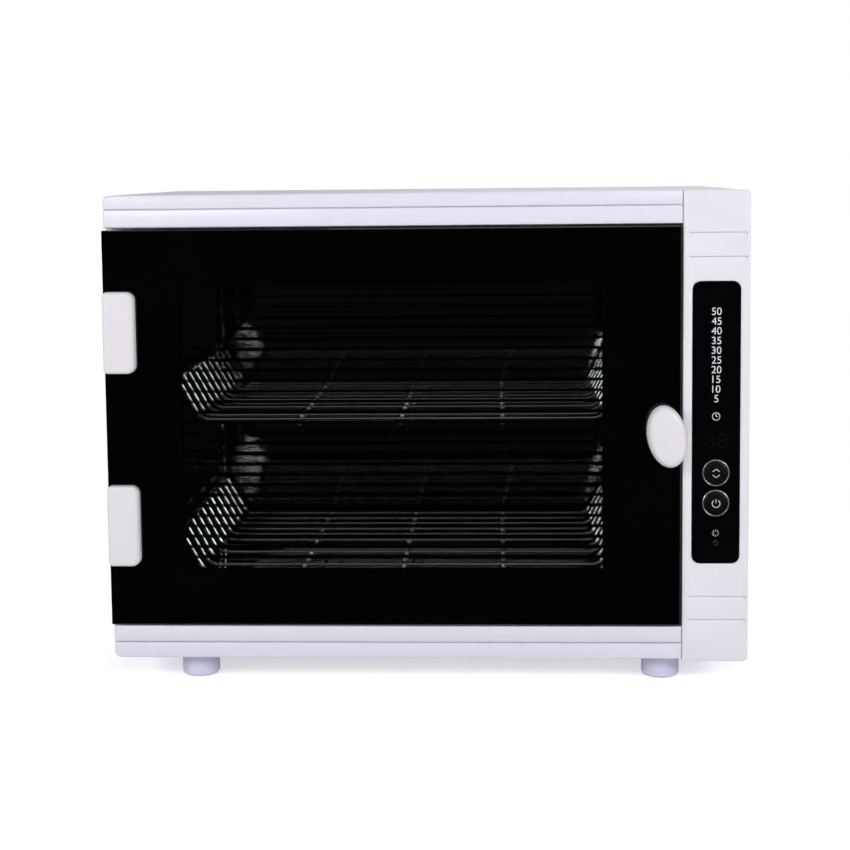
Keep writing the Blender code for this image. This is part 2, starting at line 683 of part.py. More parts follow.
def make_buttons(plastic, chrome):
    """Two push buttons, each held by a thin bright ring."""
    ring_inside = BUTTON_RADIUS + SEAM
    ring_outside = ring_inside + RING_WALL
    lip_back = label_front - SEAM
    for name, z in button_places().items():
        centre = (panel_middle, 0, z)
        flange_front_y = ring_back + SEAM
        profile = [(0, button_front), (BUTTON_RADIUS / 2, button_front + BUTTON_CROWN / 4),
                   (BUTTON_RADIUS - BUTTON_EDGE_ROUND, button_front + BUTTON_CROWN),
                   (BUTTON_RADIUS, button_front + BUTTON_CROWN + BUTTON_EDGE_ROUND),
                   (BUTTON_RADIUS, flange_front_y), (BUTTON_RADIUS + BUTTON_FLANGE_WIDTH, flange_front_y),
                   (BUTTON_RADIUS + BUTTON_FLANGE_WIDTH, button_back), (0, button_back)]
        add_part(name, turned(profile, centre, "Y"), plastic, origin=(panel_middle, button_front, z),
                 smooth=True)
        lip_front = lip_back - RING_LIP_HEIGHT
        ring = [(ring_inside, lip_front), (ring_outside + RING_LIP_WIDTH, lip_front),
                (ring_outside + RING_LIP_WIDTH, lip_back), (ring_outside, lip_back),
                (ring_outside, ring_back), (ring_inside, ring_back), (ring_inside, lip_front)]
        add_part(f"{name}_ring", turned(ring, centre, "Y"), chrome, smooth=True)


def make_display(smoked, lens):
    """Time display and indicator lens, which stand on the circuit board behind the label."""
    add_part("time_display", blocks((around(panel_middle, DISPLAY_WIDTH), (recess_floor, board_front - SEAM),
                                     around(display_z, DISPLAY_HEIGHT))), smoked)
    add_part("indicator_lens", turned([(0, label_front - SEAM), (INDICATOR_RADIUS / 2, label_front - SEAM),
                                       (INDICATOR_RADIUS, label_front), (INDICATOR_RADIUS, board_front - SEAM),
                                       (0, board_front - SEAM)],
                                      (panel_middle, 0, indicator_z), "Y", SMALL_ROUND_SIDES), lens, smooth=True)


def make_control_board(laminate):
    """Circuit board on the panel's bosses, with one key switch behind each button."""
    board = add_part("control_board", blocks((around(panel_middle, BOARD_WIDTH), (board_front, board_back),
                                              board_span())), laminate)
    join(board, blocks(*[(around(panel_middle, KEY_SWITCH_WIDTH),
                          (key_switch_front, board_front + BOARD_THICKNESS / 2),
                          around(z, KEY_SWITCH_WIDTH)) for z in button_places().values()]))


def hinge_heights():
    """Name and middle height of each hinge."""
    return {"upper": body_top - UPPER_HINGE_DROP, "lower": body_bottom + LOWER_HINGE_RISE}


def make_door_glass(glass, door):
    """Tempered glass pane with a notch for each hinge and a hole for the knob's screw."""
    pane = blocks(((left, glass_right), (glass_front, glass_back), (glass_bottom, glass_top)))
    bmesh.ops.bevel(pane, geom=pane.edges, offset=GLASS_EDGE_CHAMFER, segments=1, affect="EDGES")
    part = add_part("door_glass", pane, glass, origin=door.location, holder=door)
    through = (glass_front - OVERRUN, glass_back + OVERRUN)
    notch = (left - OVERRUN, hinge_x + HINGE_WEB_RIGHT + SEAM)
    cut(part, blocks(*[(notch, through, around(z, HINGE_BARREL_LENGTH + 2 * SEAM))
                       for z in hinge_heights().values()]))
    cut(part, rod((knob_x, 0, knob_z), "Y", KNOB_SCREW_RADIUS + SEAM, *through))


def make_hinge_covers(plastic, door):
    """White block that clamps the glass in front and behind and turns on the pin with its barrel."""
    cover_back = glass_front - SEAM
    cover_front = cover_back - HINGE_COVER_THICKNESS
    leaf_front = glass_back + SEAM
    leaf_back = leaf_front + HINGE_LEAF_THICKNESS
    web = (hinge_x - HINGE_WEB_LEFT, hinge_x + HINGE_WEB_RIGHT)
    radii = (HINGE_COVER_OUTER_RADIUS, HINGE_COVER_INNER_RADIUS, HINGE_COVER_INNER_RADIUS,
             HINGE_COVER_OUTER_RADIUS)
    for name, z in hinge_heights().items():
        cover = add_part(f"hinge_cover_{name}",
                         plate((left + SEAM, left + SEAM + HINGE_COVER_WIDTH), around(z, HINGE_COVER_HEIGHT),
                               (cover_front, cover_back), radii, HINGE_COVER_EDGE_ROUND),
                         plastic, origin=(hinge_x, hinge_y, z), holder=door)
        barrel_span = around(z, HINGE_BARREL_LENGTH)
        join(cover, blocks((web, (cover_back - SEAM, hinge_y), barrel_span)))
        join(cover, blocks(((hinge_x, hinge_x + HINGE_LEAF_WIDTH), (leaf_front, leaf_back), barrel_span)))
        join(cover, rod((hinge_x, hinge_y, 0), "Z", HINGE_BARREL_RADIUS, *barrel_span, ROUND_SIDES))
        cut(cover, rod((hinge_x, hinge_y, 0), "Z", HINGE_PIN_RADIUS + SEAM, barrel_span[0] - OVERRUN,
                       barrel_span[1] + OVERRUN))


def make_hinge_brackets(steel):
    """Steel bracket on the front frame, with an ear above and below the barrel, and its pin."""
    back = plastic_back
    ear_depth = (hinge_y - HINGE_BARREL_RADIUS, back)
    ear_across = (hinge_x - HINGE_BARREL_RADIUS, hinge_x - HINGE_BARREL_RADIUS + HINGE_EAR_LENGTH)
    plate_left = hinge_x + HINGE_BARREL_RADIUS + HINGE_FRAME_GAP
    for name, z in hinge_heights().items():
        low, high = around(z, HINGE_BARREL_LENGTH + 2 * SEAM)
        bottom, top = low - HINGE_EAR_THICKNESS, high + HINGE_EAR_THICKNESS
        bracket = add_part(f"hinge_bracket_{name}", blocks((ear_across, ear_depth, (bottom, top))), steel)
        cut(bracket, blocks(((ear_across[0] - OVERRUN, ear_across[1] + OVERRUN),
                             (ear_depth[0] - OVERRUN, back - HINGE_BRACKET_SHEET), (low, high))))
        cut(bracket, blocks(((ear_across[0] - OVERRUN, plate_left), (ear_depth[0] - OVERRUN, back + OVERRUN),
                             (low, high))))
        cut(bracket, rod((hinge_x, hinge_y, 0), "Z", HINGE_PIN_RADIUS + SEAM, bottom - OVERRUN, top + OVERRUN))
        head_seat = top + SEAM
        profile = [(0, bottom), (HINGE_PIN_RADIUS, bottom), (HINGE_PIN_RADIUS, head_seat),
                   (HINGE_PIN_HEAD_RADIUS, head_seat), (HINGE_PIN_HEAD_RADIUS, head_seat + HINGE_PIN_HEAD_HEIGHT),
                   (0, head_seat + HINGE_PIN_HEAD_HEIGHT)]
        add_part(f"hinge_pin_{name}", turned(profile, (hinge_x, hinge_y, 0), "Z", SMALL_ROUND_SIDES), steel,
                 smooth=True)


def make_knob(plastic, steel, door):
    """Oval knob, leaning to the left at its top, and the screw that holds it through the glass."""
    base = glass_front - SEAM
    front = glass_front - KNOB_STAND
    shape = new_shape()
    rings = []
    for size_share, height_share in KNOB_SECTION_SHARES:
        depth = base + (front - base) * height_share
        ring = []
        for side in range(ROUND_SIDES):
            angle = 2 * math.pi * side / ROUND_SIDES
            ring.append(shape.verts.new((KNOB_WIDTH / 2 * size_share * math.cos(angle), depth,
                                         KNOB_LENGTH / 2 * size_share * math.sin(angle))))
        rings.append(ring)
    for lower, upper in zip(rings, rings[1:]):
        for side in range(ROUND_SIDES):
            following = (side + 1) % ROUND_SIDES
            shape.faces.new((lower[side], lower[following], upper[following], upper[side]))
    shape.faces.new(rings[0])
    crown = shape.verts.new((0, front, 0))
    for side in range(ROUND_SIDES):
        shape.faces.new((rings[-1][side], rings[-1][(side + 1) % ROUND_SIDES], crown))
    place = Matrix.Translation((knob_x, 0, knob_z)) @ Matrix.Rotation(KNOB_TILT, 4, "Y")
    bmesh.ops.transform(shape, matrix=place, verts=shape.verts)
    knob = add_part("door_knob", tidy(shape), plastic, origin=(knob_x, base, knob_z), holder=door, smooth=True)
    cut(knob, rod((knob_x, 0, knob_z), "Y", KNOB_SCREW_RADIUS + SEAM, base - KNOB_BORE_DEPTH, base + OVERRUN))
    head_seat = glass_back + SEAM
    tip = base - KNOB_BORE_DEPTH + SEAM
    profile = [(0, tip), (KNOB_SCREW_RADIUS, tip), (KNOB_SCREW_RADIUS, head_seat),
               (KNOB_SCREW_HEAD_RADIUS, head_seat), (KNOB_SCREW_HEAD_RADIUS, head_seat + KNOB_SCREW_HEAD_HEIGHT),
               (0, head_seat + KNOB_SCREW_HEAD_HEIGHT)]
    add_part("knob_screw", turned(profile, (knob_x, 0, knob_z), "Y", SMALL_ROUND_SIDES), steel,
             origin=(knob_x, head_seat, knob_z), holder=door, smooth=True)


def make_catch(steel, plastic, door):
    """Strike plate on the glass, the magnet catch it meets, and the door sensor behind the frame."""
    strike_back = glass_back + SEAM + STRIKE_THICKNESS
    add_part("strike_plate", blocks((around(knob_x, STRIKE_WIDTH), (glass_back + SEAM, strike_back),
                                     around(catch_z, STRIKE_HEIGHT))), steel,
             origin=(knob_x, strike_back, catch_z), holder=door)
    add_part("magnet_catch", blocks((around(knob_x, CATCH_WIDTH), (strike_back + SEAM, plastic_back),
                                     around(catch_z, CATCH_HEIGHT))), plastic)
    add_part("door_sensor", blocks((around(knob_x, SENSOR_WIDTH),
                                    (frame_back + SEAM, frame_back + SEAM + SENSOR_WIDTH),
                                    around(catch_z, SENSOR_LENGTH))), plastic)


def make_door_seal(rubber):
    """Rubber frame round the chamber's mouth, which the closed door rests on."""
    depth = (glass_back + SEAM, plastic_back)
    seal = add_part("door_seal", blocks(((chamber_left - SEAL_WIDTH, chamber_right + SEAL_WIDTH), depth,
                                         (chamber_floor - SEAL_WIDTH, chamber_ceiling + SEAL_WIDTH))), rubber)
    cut(seal, blocks(((chamber_left, chamber_right), (depth[0] - OVERRUN, depth[1] + OVERRUN),
                      (chamber_floor, chamber_ceiling))))


def basket_levels():
    """Name and floor height of each basket."""
    return {"upper": chamber_ceiling - UPPER_BASKET_DROP, "lower": chamber_floor + LOWER_BASKET_RISE}


def rim_offset():
    """Chamber middle to the middle of a basket's rim wire."""
    return (chamber_right - chamber_left) / 2 - BASKET_RIM_WALL_GAP - BASKET_RIM_RADIUS


def wire_end_offset():
    """Chamber middle to the upper end of a floor wire, which is pressed into the rim from inside."""
    return rim_offset() - BASKET_RIM_RADIUS - BASKET_WIRE_RADIUS + BASKET_WELD


def floor_wire_path(floor_z):
    """Points of one floor wire from the left rim to the right rim, with a round bend at each side."""
    corner = wire_end_offset() - BASKET_HEIGHT * math.tan(BASKET_FLARE)
    turn = math.pi / 2 - BASKET_FLARE
    bend_middle = Vector((corner - BASKET_BEND_RADIUS * math.tan(turn / 2), floor_z + BASKET_BEND_RADIUS))
    right_half = []
    for step in range(BEND_STEPS + 1):
        angle = -math.pi / 2 + turn * step / BEND_STEPS
        right_half.append(bend_middle + BASKET_BEND_RADIUS * Vector((math.cos(angle), math.sin(angle))))
    right_half.append(Vector((wire_end_offset(), floor_z + BASKET_HEIGHT)))
    left_half = [Vector((-point.x, point.y)) for point in reversed(right_half)]
    return left_half + right_half


def bent_wire(path, depth):
    """A wire that follows a path drawn on the front of the chamber, at one depth."""
    shape = new_shape()
    rings = []
    for number, point in enumerate(path):
        before = path[max(number - 1, 0)]
        after = path[min(number + 1, len(path) - 1)]
        along = (after - before).normalized()
        outward = Vector((-along.y, along.x))
        ring = []
        for side in range(WIRE_SIDES):
            angle = 2 * math.pi * (side + 0.5) / WIRE_SIDES
            place = point + outward * BASKET_WIRE_RADIUS * math.sin(angle)
            ring.append(shape.verts.new((chamber_middle + place.x, depth + BASKET_WIRE_RADIUS * math.cos(angle),
                                         place.y)))
        rings.append(ring)
    for first, second in zip(rings, rings[1:]):
        for side in range(WIRE_SIDES):
            following = (side + 1) % WIRE_SIDES
            shape.faces.new((first[side], first[following], second[following], second[side]))
    shape.faces.new(rings[0])
    shape.faces.new(rings[-1])
    return tidy(shape)


def make_baskets(steel):
    """Two baskets: floor wires bent up at both sides, a rim wire along each side, cross wires below."""
    front = chamber_front + BASKET_FRONT_GAP
    back = chamber_back - BASKET_BACK_GAP
    first = front + BASKET_WIRE_RADIUS
    pitch = (back - front - 2 * BASKET_WIRE_RADIUS) / (BASKET_WIRE_COUNT - 1)
    cross_drop = BASKET_WIRE_RADIUS + BASKET_CROSS_RADIUS - BASKET_WELD
    cross_middle = (BASKET_CROSS_COUNT - 1) / 2
    for name, floor_z in basket_levels().items():
        path = floor_wire_path(floor_z)
        slide = add_axis(f"{name}_basket_slide", (chamber_middle, front, floor_z))
        basket = add_part(f"{name}_basket", gather(bent_wire(path, first + pitch * number)
                                                   for number in range(BASKET_WIRE_COUNT)),
                          steel, origin=slide.location, holder=slide, smooth=True)
        lengthwise = [rod((chamber_middle + side * rim_offset(), 0, floor_z + BASKET_HEIGHT), "Y",
                          BASKET_RIM_RADIUS, front, back, WIRE_SIDES + 2) for side in (-1, 1)]
        lengthwise += [cross_wire(chamber_middle + (number - cross_middle) * BASKET_CROSS_SPACING,
                                  floor_z - cross_drop, front, back) for number in range(BASKET_CROSS_COUNT)]
        join(basket, gather(lengthwise))


def cross_wire(x, z, front, back):
    """A straight wire below the basket's floor, with a small ball on its front end."""
    ball = BASKET_BALL_RADIUS
    profile = [(0, front)]
    for step in range(1, BEND_STEPS + 1):
        angle = BASKET_BALL_ARC * step / BEND_STEPS
        profile.append((ball * math.sin(angle), front + ball - ball * math.cos(angle)))
    profile += [(BASKET_CROSS_RADIUS, front + 2 * ball), (BASKET_CROSS_RADIUS, back), (0, back)]
    return turned(profile, (x, 0, z), "Y", WIRE_SIDES + 2)


def make_basket_rails(steel):
    """Angle rail on each side wall for each basket, just below the rim wire that slides on it."""
    ledge_drop = BASKET_RIM_RADIUS + SEAM
    wire_side = (wire_end_offset() - ledge_drop * math.tan(BASKET_FLARE)
                 + BASKET_WIRE_RADIUS / math.cos(BASKET_FLARE))
    ledge_edge = wire_side + RAIL_WIRE_GAP
    wall = (chamber_right - chamber_left) / 2 - SEAM
    depth = (chamber_front + RAIL_FRONT_GAP, chamber_back - CHAMBER_CORNER_RADIUS)
    for level, floor_z in basket_levels().items():
        ledge_top = floor_z + BASKET_HEIGHT - ledge_drop
        for side, sign in (("left", -1), ("right", 1)):
            across = sorted((chamber_middle + sign * ledge_edge, chamber_middle + sign * wall))
            rail = add_part(f"basket_rail_{level}_{side}",
                            blocks((across, depth, (ledge_top - RAIL_FLANGE_HEIGHT, ledge_top))), steel)
            hollow = sorted((chamber_middle + sign * (ledge_edge - OVERRUN),
                             chamber_middle + sign * (wall - RAIL_SHEET)))
            cut(rail, blocks((hollow, (depth[0] - OVERRUN, depth[1] + OVERRUN),
                              (ledge_top - RAIL_FLANGE_HEIGHT - OVERRUN, ledge_top - RAIL_SHEET))))


def make_lamps(quartz, plastic):
    """Two tube lamps below the chamber's ceiling, each between a pair of holders."""
    lamp_z = chamber_ceiling - LAMP_DROP
    holder_faces = (chamber_left + SEAM + HOLDER_THICKNESS, chamber_right - SEAM - HOLDER_THICKNESS)
    ends = (holder_faces[0] + SEAM, holder_faces[1] - SEAM)
    pin_offsets = (-LAMP_PIN_SPACING / 2, LAMP_PIN_SPACING / 2)
    holder_top = chamber_ceiling - SEAM
    for row, y in (("front", chamber_front + LAMP_END_DISTANCE), ("rear", chamber_back - LAMP_END_DISTANCE)):
        caps = (ends[0] + LAMP_CAP_LENGTH, ends[1] - LAMP_CAP_LENGTH)
        profile = [(0, ends[0]), (LAMP_CAP_RADIUS, ends[0]), (LAMP_CAP_RADIUS, caps[0]), (LAMP_RADIUS, caps[0]),
                   (LAMP_RADIUS, caps[1]), (LAMP_CAP_RADIUS, caps[1]), (LAMP_CAP_RADIUS, ends[1]), (0, ends[1])]
        lamp = add_part(f"uv_tube_{row}", turned(profile, (0, y, lamp_z), "X"), quartz,
                        origin=(chamber_middle, y, lamp_z), smooth=True)
        reach = LAMP_PIN_LENGTH
        join(lamp, gather(rod((0, y + offset, lamp_z), "X", LAMP_PIN_RADIUS, start, end, SMALL_ROUND_SIDES)
                          for offset in pin_offsets
                          for start, end in ((ends[0] - reach, ends[0] + SEAM),
                                             (ends[1] - SEAM, ends[1] + reach))))
        for side, face, wall in (("left", holder_faces[0], chamber_left + SEAM),
                                 ("right", holder_faces[1], chamber_right - SEAM)):
            holder = add_part(f"lamp_holder_{row}_{side}",
                              blocks((sorted((face, wall)), around(y, HOLDER_WIDTH),
                                      (holder_top - HOLDER_HEIGHT, holder_top))), plastic)
            socket = sorted((face + math.copysign(OVERRUN, face - wall),
                             face - math.copysign(LAMP_PIN_LENGTH + SEAM, face - wall)))
            cut(holder, gather(rod((0, y + offset, lamp_z), "X", LAMP_PIN_RADIUS + SEAM, *socket)
                               for offset in pin_offsets))


def make_ballasts(case):
    """Two lamp ballasts on the base plate, in the bay to the right of the chamber."""
    bay = (frame_back, flange_front)
    length = (bay[1] - bay[0] - 3 * BALLAST_GAP) / 2
    bottom = base_top + SEAM
    for number, row in enumerate(("front", "rear")):
        start = bay[0] + BALLAST_GAP + number * (length + BALLAST_GAP)
        ballast = blocks((around(bay_middle, BALLAST_WIDTH), (start, start + length),
                          (bottom, bottom + BALLAST_HEIGHT)))
        rim = [edge for edge in ballast.edges
               if all(v.co.z > bottom + BALLAST_HEIGHT / 2 for v in edge.verts)]
        bmesh.ops.bevel(ballast, geom=rim, offset=BALLAST_EDGE_ROUND, segments=1, affect="EDGES")
        add_part(f"lamp_ballast_{row}", ballast, case)


def make_power_inlet(plastic, brass):
    """Appliance inlet in the back panel, with its three contact blades."""
    z = body_bottom + INLET_RISE
    seat = back_outside + SEAM
    mouth = seat + INLET_FLANGE_THICKNESS
    body_front = seat - INLET_BODY_DEPTH
    socket_floor = mouth - INLET_SOCKET_DEPTH
    flange_outline = rounded_rectangle(around(bay_middle, INLET_FLANGE_WIDTH), around(z, INLET_FLANGE_HEIGHT),
                                       (INLET_CORNER_RADIUS,) * 4)
    inlet = add_part("power_inlet", drawn_out(flange_outline, seat, mouth, front_outline), plastic)
    join(inlet, blocks((around(bay_middle, INLET_BODY_WIDTH), (body_front, seat + INLET_FLANGE_THICKNESS / 2),
                        around(z, INLET_BODY_HEIGHT))))
    cut(inlet, blocks((around(bay_middle, INLET_SOCKET_WIDTH), (socket_floor, mouth + OVERRUN),
                       around(z, INLET_SOCKET_HEIGHT))))
    blades = {"line": (-BLADE_SPACING, 0), "neutral": (BLADE_SPACING, 0), "earth": (0, BLADE_EARTH_RAISE)}
    blade_depth = (body_front - BLADE_TAIL, mouth - BLADE_SETBACK)
    slots = []
    for name, (across, raised) in blades.items():
        x, blade_z = bay_middle + across, z - BLADE_EARTH_RAISE / 2 + raised
        add_part(f"inlet_blade_{name}", blocks((around(x, BLADE_THICKNESS), blade_depth,
                                                around(blade_z, BLADE_HEIGHT))), brass)
        slots.append((around(x, BLADE_THICKNESS + 2 * SEAM), (body_front - OVERRUN, socket_floor + OVERRUN),
                      around(blade_z, BLADE_HEIGHT + 2 * SEAM)))
    cut(inlet, blocks(*slots))


def make_feet(rubber, steel):
    """Round feet with a recess for the screw that holds each one to the base plate."""
    round_steps = range(BEND_STEPS + 1)
    for name, (x, y) in foot_places().items():
        edge_middle = FOOT_RADIUS - FOOT_EDGE_RADIUS
        edge = [(edge_middle + FOOT_EDGE_RADIUS * math.sin(math.pi / 2 * step / BEND_STEPS),
                 FOOT_EDGE_RADIUS - FOOT_EDGE_RADIUS * math.cos(math.pi / 2 * step / BEND_STEPS))
                for step in round_steps]
        bore = FOOT_SCREW_RADIUS + SEAM
        profile = [(bore, FOOT_RECESS_DEPTH), (FOOT_RECESS_RADIUS, FOOT_RECESS_DEPTH), (FOOT_RECESS_RADIUS, 0),
                   *edge, (FOOT_RADIUS, FOOT_HEIGHT), (bore, FOOT_HEIGHT), (bore, FOOT_RECESS_DEPTH)]
        add_part(f"foot_{name}", turned(profile, (x, y, 0), "Z"), rubber, origin=(x, y, 0), smooth=True)
        head_top = FOOT_RECESS_DEPTH - SEAM
        head_bottom = head_top - FOOT_SCREW_HEAD_HEIGHT
        tip = base_top + FOOT_SCREW_REACH
        screw = [(0, head_bottom), (FOOT_SCREW_HEAD_RADIUS, head_bottom), (FOOT_SCREW_HEAD_RADIUS, head_top),
                 (FOOT_SCREW_RADIUS, head_top), (FOOT_SCREW_RADIUS, tip), (0, tip)]
        add_part(f"foot_screw_{name}", turned(screw, (x, y, 0), "Z", SMALL_ROUND_SIDES), steel, smooth=True)


def make_cabinet():
    """Builds every piece of the cabinet."""
    paint = finish("powder_coated_steel", (0.80, 0.80, 0.84), 0.45)
    white_plastic = finish("white_abs", (0.78, 0.77, 0.84), 0.35)
    black_plastic = finish("black_abs", (0.02, 0.02, 0.025), 0.4)
    dark_film = finish("black_film", (0.01, 0.01, 0.012), 0.15)
    polished_steel = finish("polished_stainless", (0.62, 0.63, 0.64), 0.12, 1.0)
    plated_wire = finish("chromed_wire", (0.75, 0.75, 0.76), 0.1, 1.0)
    zinc_steel = finish("zinc_plated_steel", (0.60, 0.60, 0.60), 0.3, 1.0)
    chrome = finish("chrome", (0.85, 0.85, 0.86), 0.06, 1.0)
    door_tint = finish("black_tinted_glass", (0.01, 0.01, 0.012), 0.03, 0.0, 0.6)
    seal_rubber = finish("grey_rubber", (0.45, 0.45, 0.47), 0.8)
    foot_rubber = finish("white_rubber", (0.68, 0.68, 0.76), 0.6)
    quartz = finish("quartz_tube", (0.80, 0.85, 0.90), 0.1)
    brass = finish("nickel_plated_brass", (0.75, 0.70, 0.60), 0.25, 1.0)
    laminate = finish("circuit_board", (0.02, 0.15, 0.06), 0.5)
    indicator = finish("red_lens", (0.35, 0.02, 0.02), 0.2)
    make_outer_shell(paint)
    make_back_panel(paint)
    make_back_screws(zinc_steel)
    make_base_plate(paint)
    make_feet(foot_rubber, zinc_steel)
    make_front_frame(paint)
    make_chamber_liner(polished_steel)
    make_bezels(white_plastic)
    make_control_panel(white_plastic)
    make_label(dark_film)
    make_buttons(black_plastic, chrome)
    make_display(dark_film, indicator)
    make_control_board(laminate)
    door = add_axis("door_hinge_axis", (hinge_x, hinge_y, (glass_bottom + glass_top) / 2))
    make_door_glass(door_tint, door)
    make_hinge_covers(white_plastic, door)
    make_hinge_brackets(zinc_steel)
    make_knob(white_plastic, zinc_steel, door)
    make_catch(zinc_steel, black_plastic, door)
    make_door_seal(seal_rubber)
    make_baskets(plated_wire)
    make_basket_rails(polished_steel)
    make_lamps(quartz, white_plastic)
    make_ballasts(black_plastic)
    make_power_inlet(black_plastic, brass)


for item in list(bpy.data.objects):
    bpy.data.objects.remove(item, do_unlink=True)
make_cabinet()
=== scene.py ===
"""Looks of the tabletop ultraviolet sterilizer cabinet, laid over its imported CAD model.

Metres, +Z up, the door faces -Y. Places come from the boxes of the CAD nodes; the sizes that the
looks add are named below. Every piece is made in place and rides on the body of the node it shows.
"""

import json
import math

import bmesh
import bpy
from mathutils import Matrix, Vector

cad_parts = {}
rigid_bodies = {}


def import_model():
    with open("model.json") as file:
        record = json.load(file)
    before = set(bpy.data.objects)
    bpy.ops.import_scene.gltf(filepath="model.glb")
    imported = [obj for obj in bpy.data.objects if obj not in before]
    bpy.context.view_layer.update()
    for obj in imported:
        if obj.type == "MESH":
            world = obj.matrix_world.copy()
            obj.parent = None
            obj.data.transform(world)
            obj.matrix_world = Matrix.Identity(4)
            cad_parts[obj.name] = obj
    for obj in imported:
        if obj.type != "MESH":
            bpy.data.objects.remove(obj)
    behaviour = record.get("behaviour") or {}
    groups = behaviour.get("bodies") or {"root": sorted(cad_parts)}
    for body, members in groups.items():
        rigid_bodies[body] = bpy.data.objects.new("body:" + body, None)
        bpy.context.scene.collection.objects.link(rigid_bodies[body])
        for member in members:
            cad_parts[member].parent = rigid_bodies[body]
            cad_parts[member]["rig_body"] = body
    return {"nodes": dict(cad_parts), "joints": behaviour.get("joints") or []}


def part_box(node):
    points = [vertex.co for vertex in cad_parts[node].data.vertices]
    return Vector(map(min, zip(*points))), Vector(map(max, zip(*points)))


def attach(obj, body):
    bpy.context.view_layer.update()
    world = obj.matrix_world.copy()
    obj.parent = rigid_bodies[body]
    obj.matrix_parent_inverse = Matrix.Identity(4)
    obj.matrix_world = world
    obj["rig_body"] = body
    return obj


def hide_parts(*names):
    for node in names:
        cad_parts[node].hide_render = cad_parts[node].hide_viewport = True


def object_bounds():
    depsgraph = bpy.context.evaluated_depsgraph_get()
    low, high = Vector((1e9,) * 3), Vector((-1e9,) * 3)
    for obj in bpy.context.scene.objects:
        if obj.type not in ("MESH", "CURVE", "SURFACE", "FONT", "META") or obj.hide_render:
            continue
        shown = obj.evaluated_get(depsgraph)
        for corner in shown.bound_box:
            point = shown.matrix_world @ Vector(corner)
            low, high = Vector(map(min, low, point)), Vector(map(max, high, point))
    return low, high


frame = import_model()
cad_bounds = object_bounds()

# How finely shapes are divided
ROUND_SIDES = 72
WIRE_SIDES = 16
BEND_STEPS = 8
MERGE_DISTANCE = 0.00001
FINE_MERGE_DISTANCE = 0.000001
FLAT_ANGLE = math.radians(1)
SMOOTH_ANGLE = math.radians(50)

# Edges that the looks round off
SHEET_EDGE = 0.00035
MOULDED_EDGE = 0.0004
CRISP_EDGE = 0.00015
PRESSED_EDGE = 0.0003
SEAL_EDGE = 0.0012
SEAL_EDGE_STEPS = 4
GLASS_EDGE = 0.0006

# Door
WINDOW_ACROSS = (-0.1598, 0.1153)
WINDOW_UP = (0.0767, 0.2640)
WINDOW_CLEARNESS = 0.88  # share of the light that passes one face of the window
PRINTED_LINE_PITCH = 0.0069
PRINTED_LINE_WIDTH = 0.0014
PRINTED_LINES_UP = (0.0841, 0.2579)

# Knob
KNOB_WIDTH = 0.0254
KNOB_LENGTH = 0.041
KNOB_TILT = math.radians(-10.7)
KNOB_SECTION = ((0.84, 0.0), (0.95, 0.16), (1.0, 0.40), (0.985, 0.62), (0.92, 0.82), (0.80, 0.94),
                (0.5, 0.99), (0.0, 1.0))  # share of the width and length, share of the height
KNOB_SECTION_STEPS = 5

# Hinge covers
COVER_WIDTH = 0.021
COVER_THICKNESS = 0.006
COVER_INNER_CORNER = 0.0055
COVER_OUTER_CORNER = 0.0028
COVER_EDGE = 0.0025
BARREL_END_SPACE = 0.0033  # end of a bracket to the end of its barrel
BARREL_RADIUS = 0.0029
BARREL_BORE = 0.0018
LEAF_REACH = 0.014
LEAF_THICKNESS = 0.0014
WEB_REACH = (0.0024, 0.0006)

# Buttons and rings
BUTTON_RADIUS = 0.0076
BUTTON_CROWN = 0.0004
BUTTON_EDGE = 0.0006
RING_INSIDE = 0.0079
RING_OUTSIDE = 0.0088
RING_LIP = 0.0007
RING_NECK = 0.0083

# Marks printed on the label and the buttons
INK = 0.00003  # thickness of the print
STROKE = 0.00045
THIN_STROKE = 0.00036
NUMBER_COUNT = 10
NUMBER_STEP = 5
NUMBER_HEIGHT = 0.0048
NUMBER_PITCH = 0.0063
NUMBERS_TOP = 0.2483
CLOCK_RADIUS = 0.0024
CLOCK_Z = 0.1776
CLOCK_HANDS = (0.7, 0.5)  # lengths of the upright and the level hand, as shares of the radius
POWER_MARK_RADIUS = 0.0025
POWER_MARK_TURNS = (1.4, 4.6)  # start and end of the open circle in quarter turns
POWER_MARK_STEM = (0.1, 1.2)  # ends of the upright stroke, as shares of the radius
CHEVRON_REACH = 0.0022
CHEVRON_SPAN = (0.5, 1.3)  # heights of a chevron's feet and tip, as shares of its reach
LAMP_MARK_RISE = 0.0065
LAMP_MARK_RAYS = 8
LAMP_MARK_INSIDE = 0.55  # where the rays start, as a share of the clock's radius
DISPLAY_DIGIT_WIDTH = 0.005
DISPLAY_DIGIT_HEIGHT = 0.0084
DISPLAY_DIGIT_PITCH = 0.0078
SEGMENT_WIDTH = 0.0009
SEGMENT_GAP = 0.00063

# Baskets
WIRE_RADIUS = 0.00125
RIM_RADIUS = 0.002
CROSS_RADIUS = 0.0014
BALL_RADIUS = 0.0021
WELD = 0.0006  # how deep welded wires sink into each other
WELD_BEAD_RADIUS = 0.0018
WIRE_COUNT = 11
CROSS_COUNT = 3
CROSS_SPACING = 0.068
BASKET_HEIGHT = 0.0275
BASKET_FLARE = math.radians(29)
BEND_RADIUS = 0.010

# Lamps
TUBE_RADIUS = 0.0076
TUBE_WALL = 0.0009
CAP_RADIUS = 0.008
CAP_LENGTH = 0.009
CAP_EDGE = 0.0008
PIN_RADIUS = 0.0012
PIN_LENGTH = 0.0066
PIN_SPACING = 0.0048

# Screws
SCREW_HEAD_RADIUS = 0.003
SCREW_HEAD_HEIGHT = 0.0018
SCREW_DOME = 0.00144  # radius that rounds the head's edge
SCREW_SHANK_RADIUS = 0.0015
SCREW_LENGTH = 0.006
CROSS_SLOT_WIDTH = 0.0007
CROSS_SLOT_REACH = 0.0034
CROSS_SLOT_DEPTH = 0.001

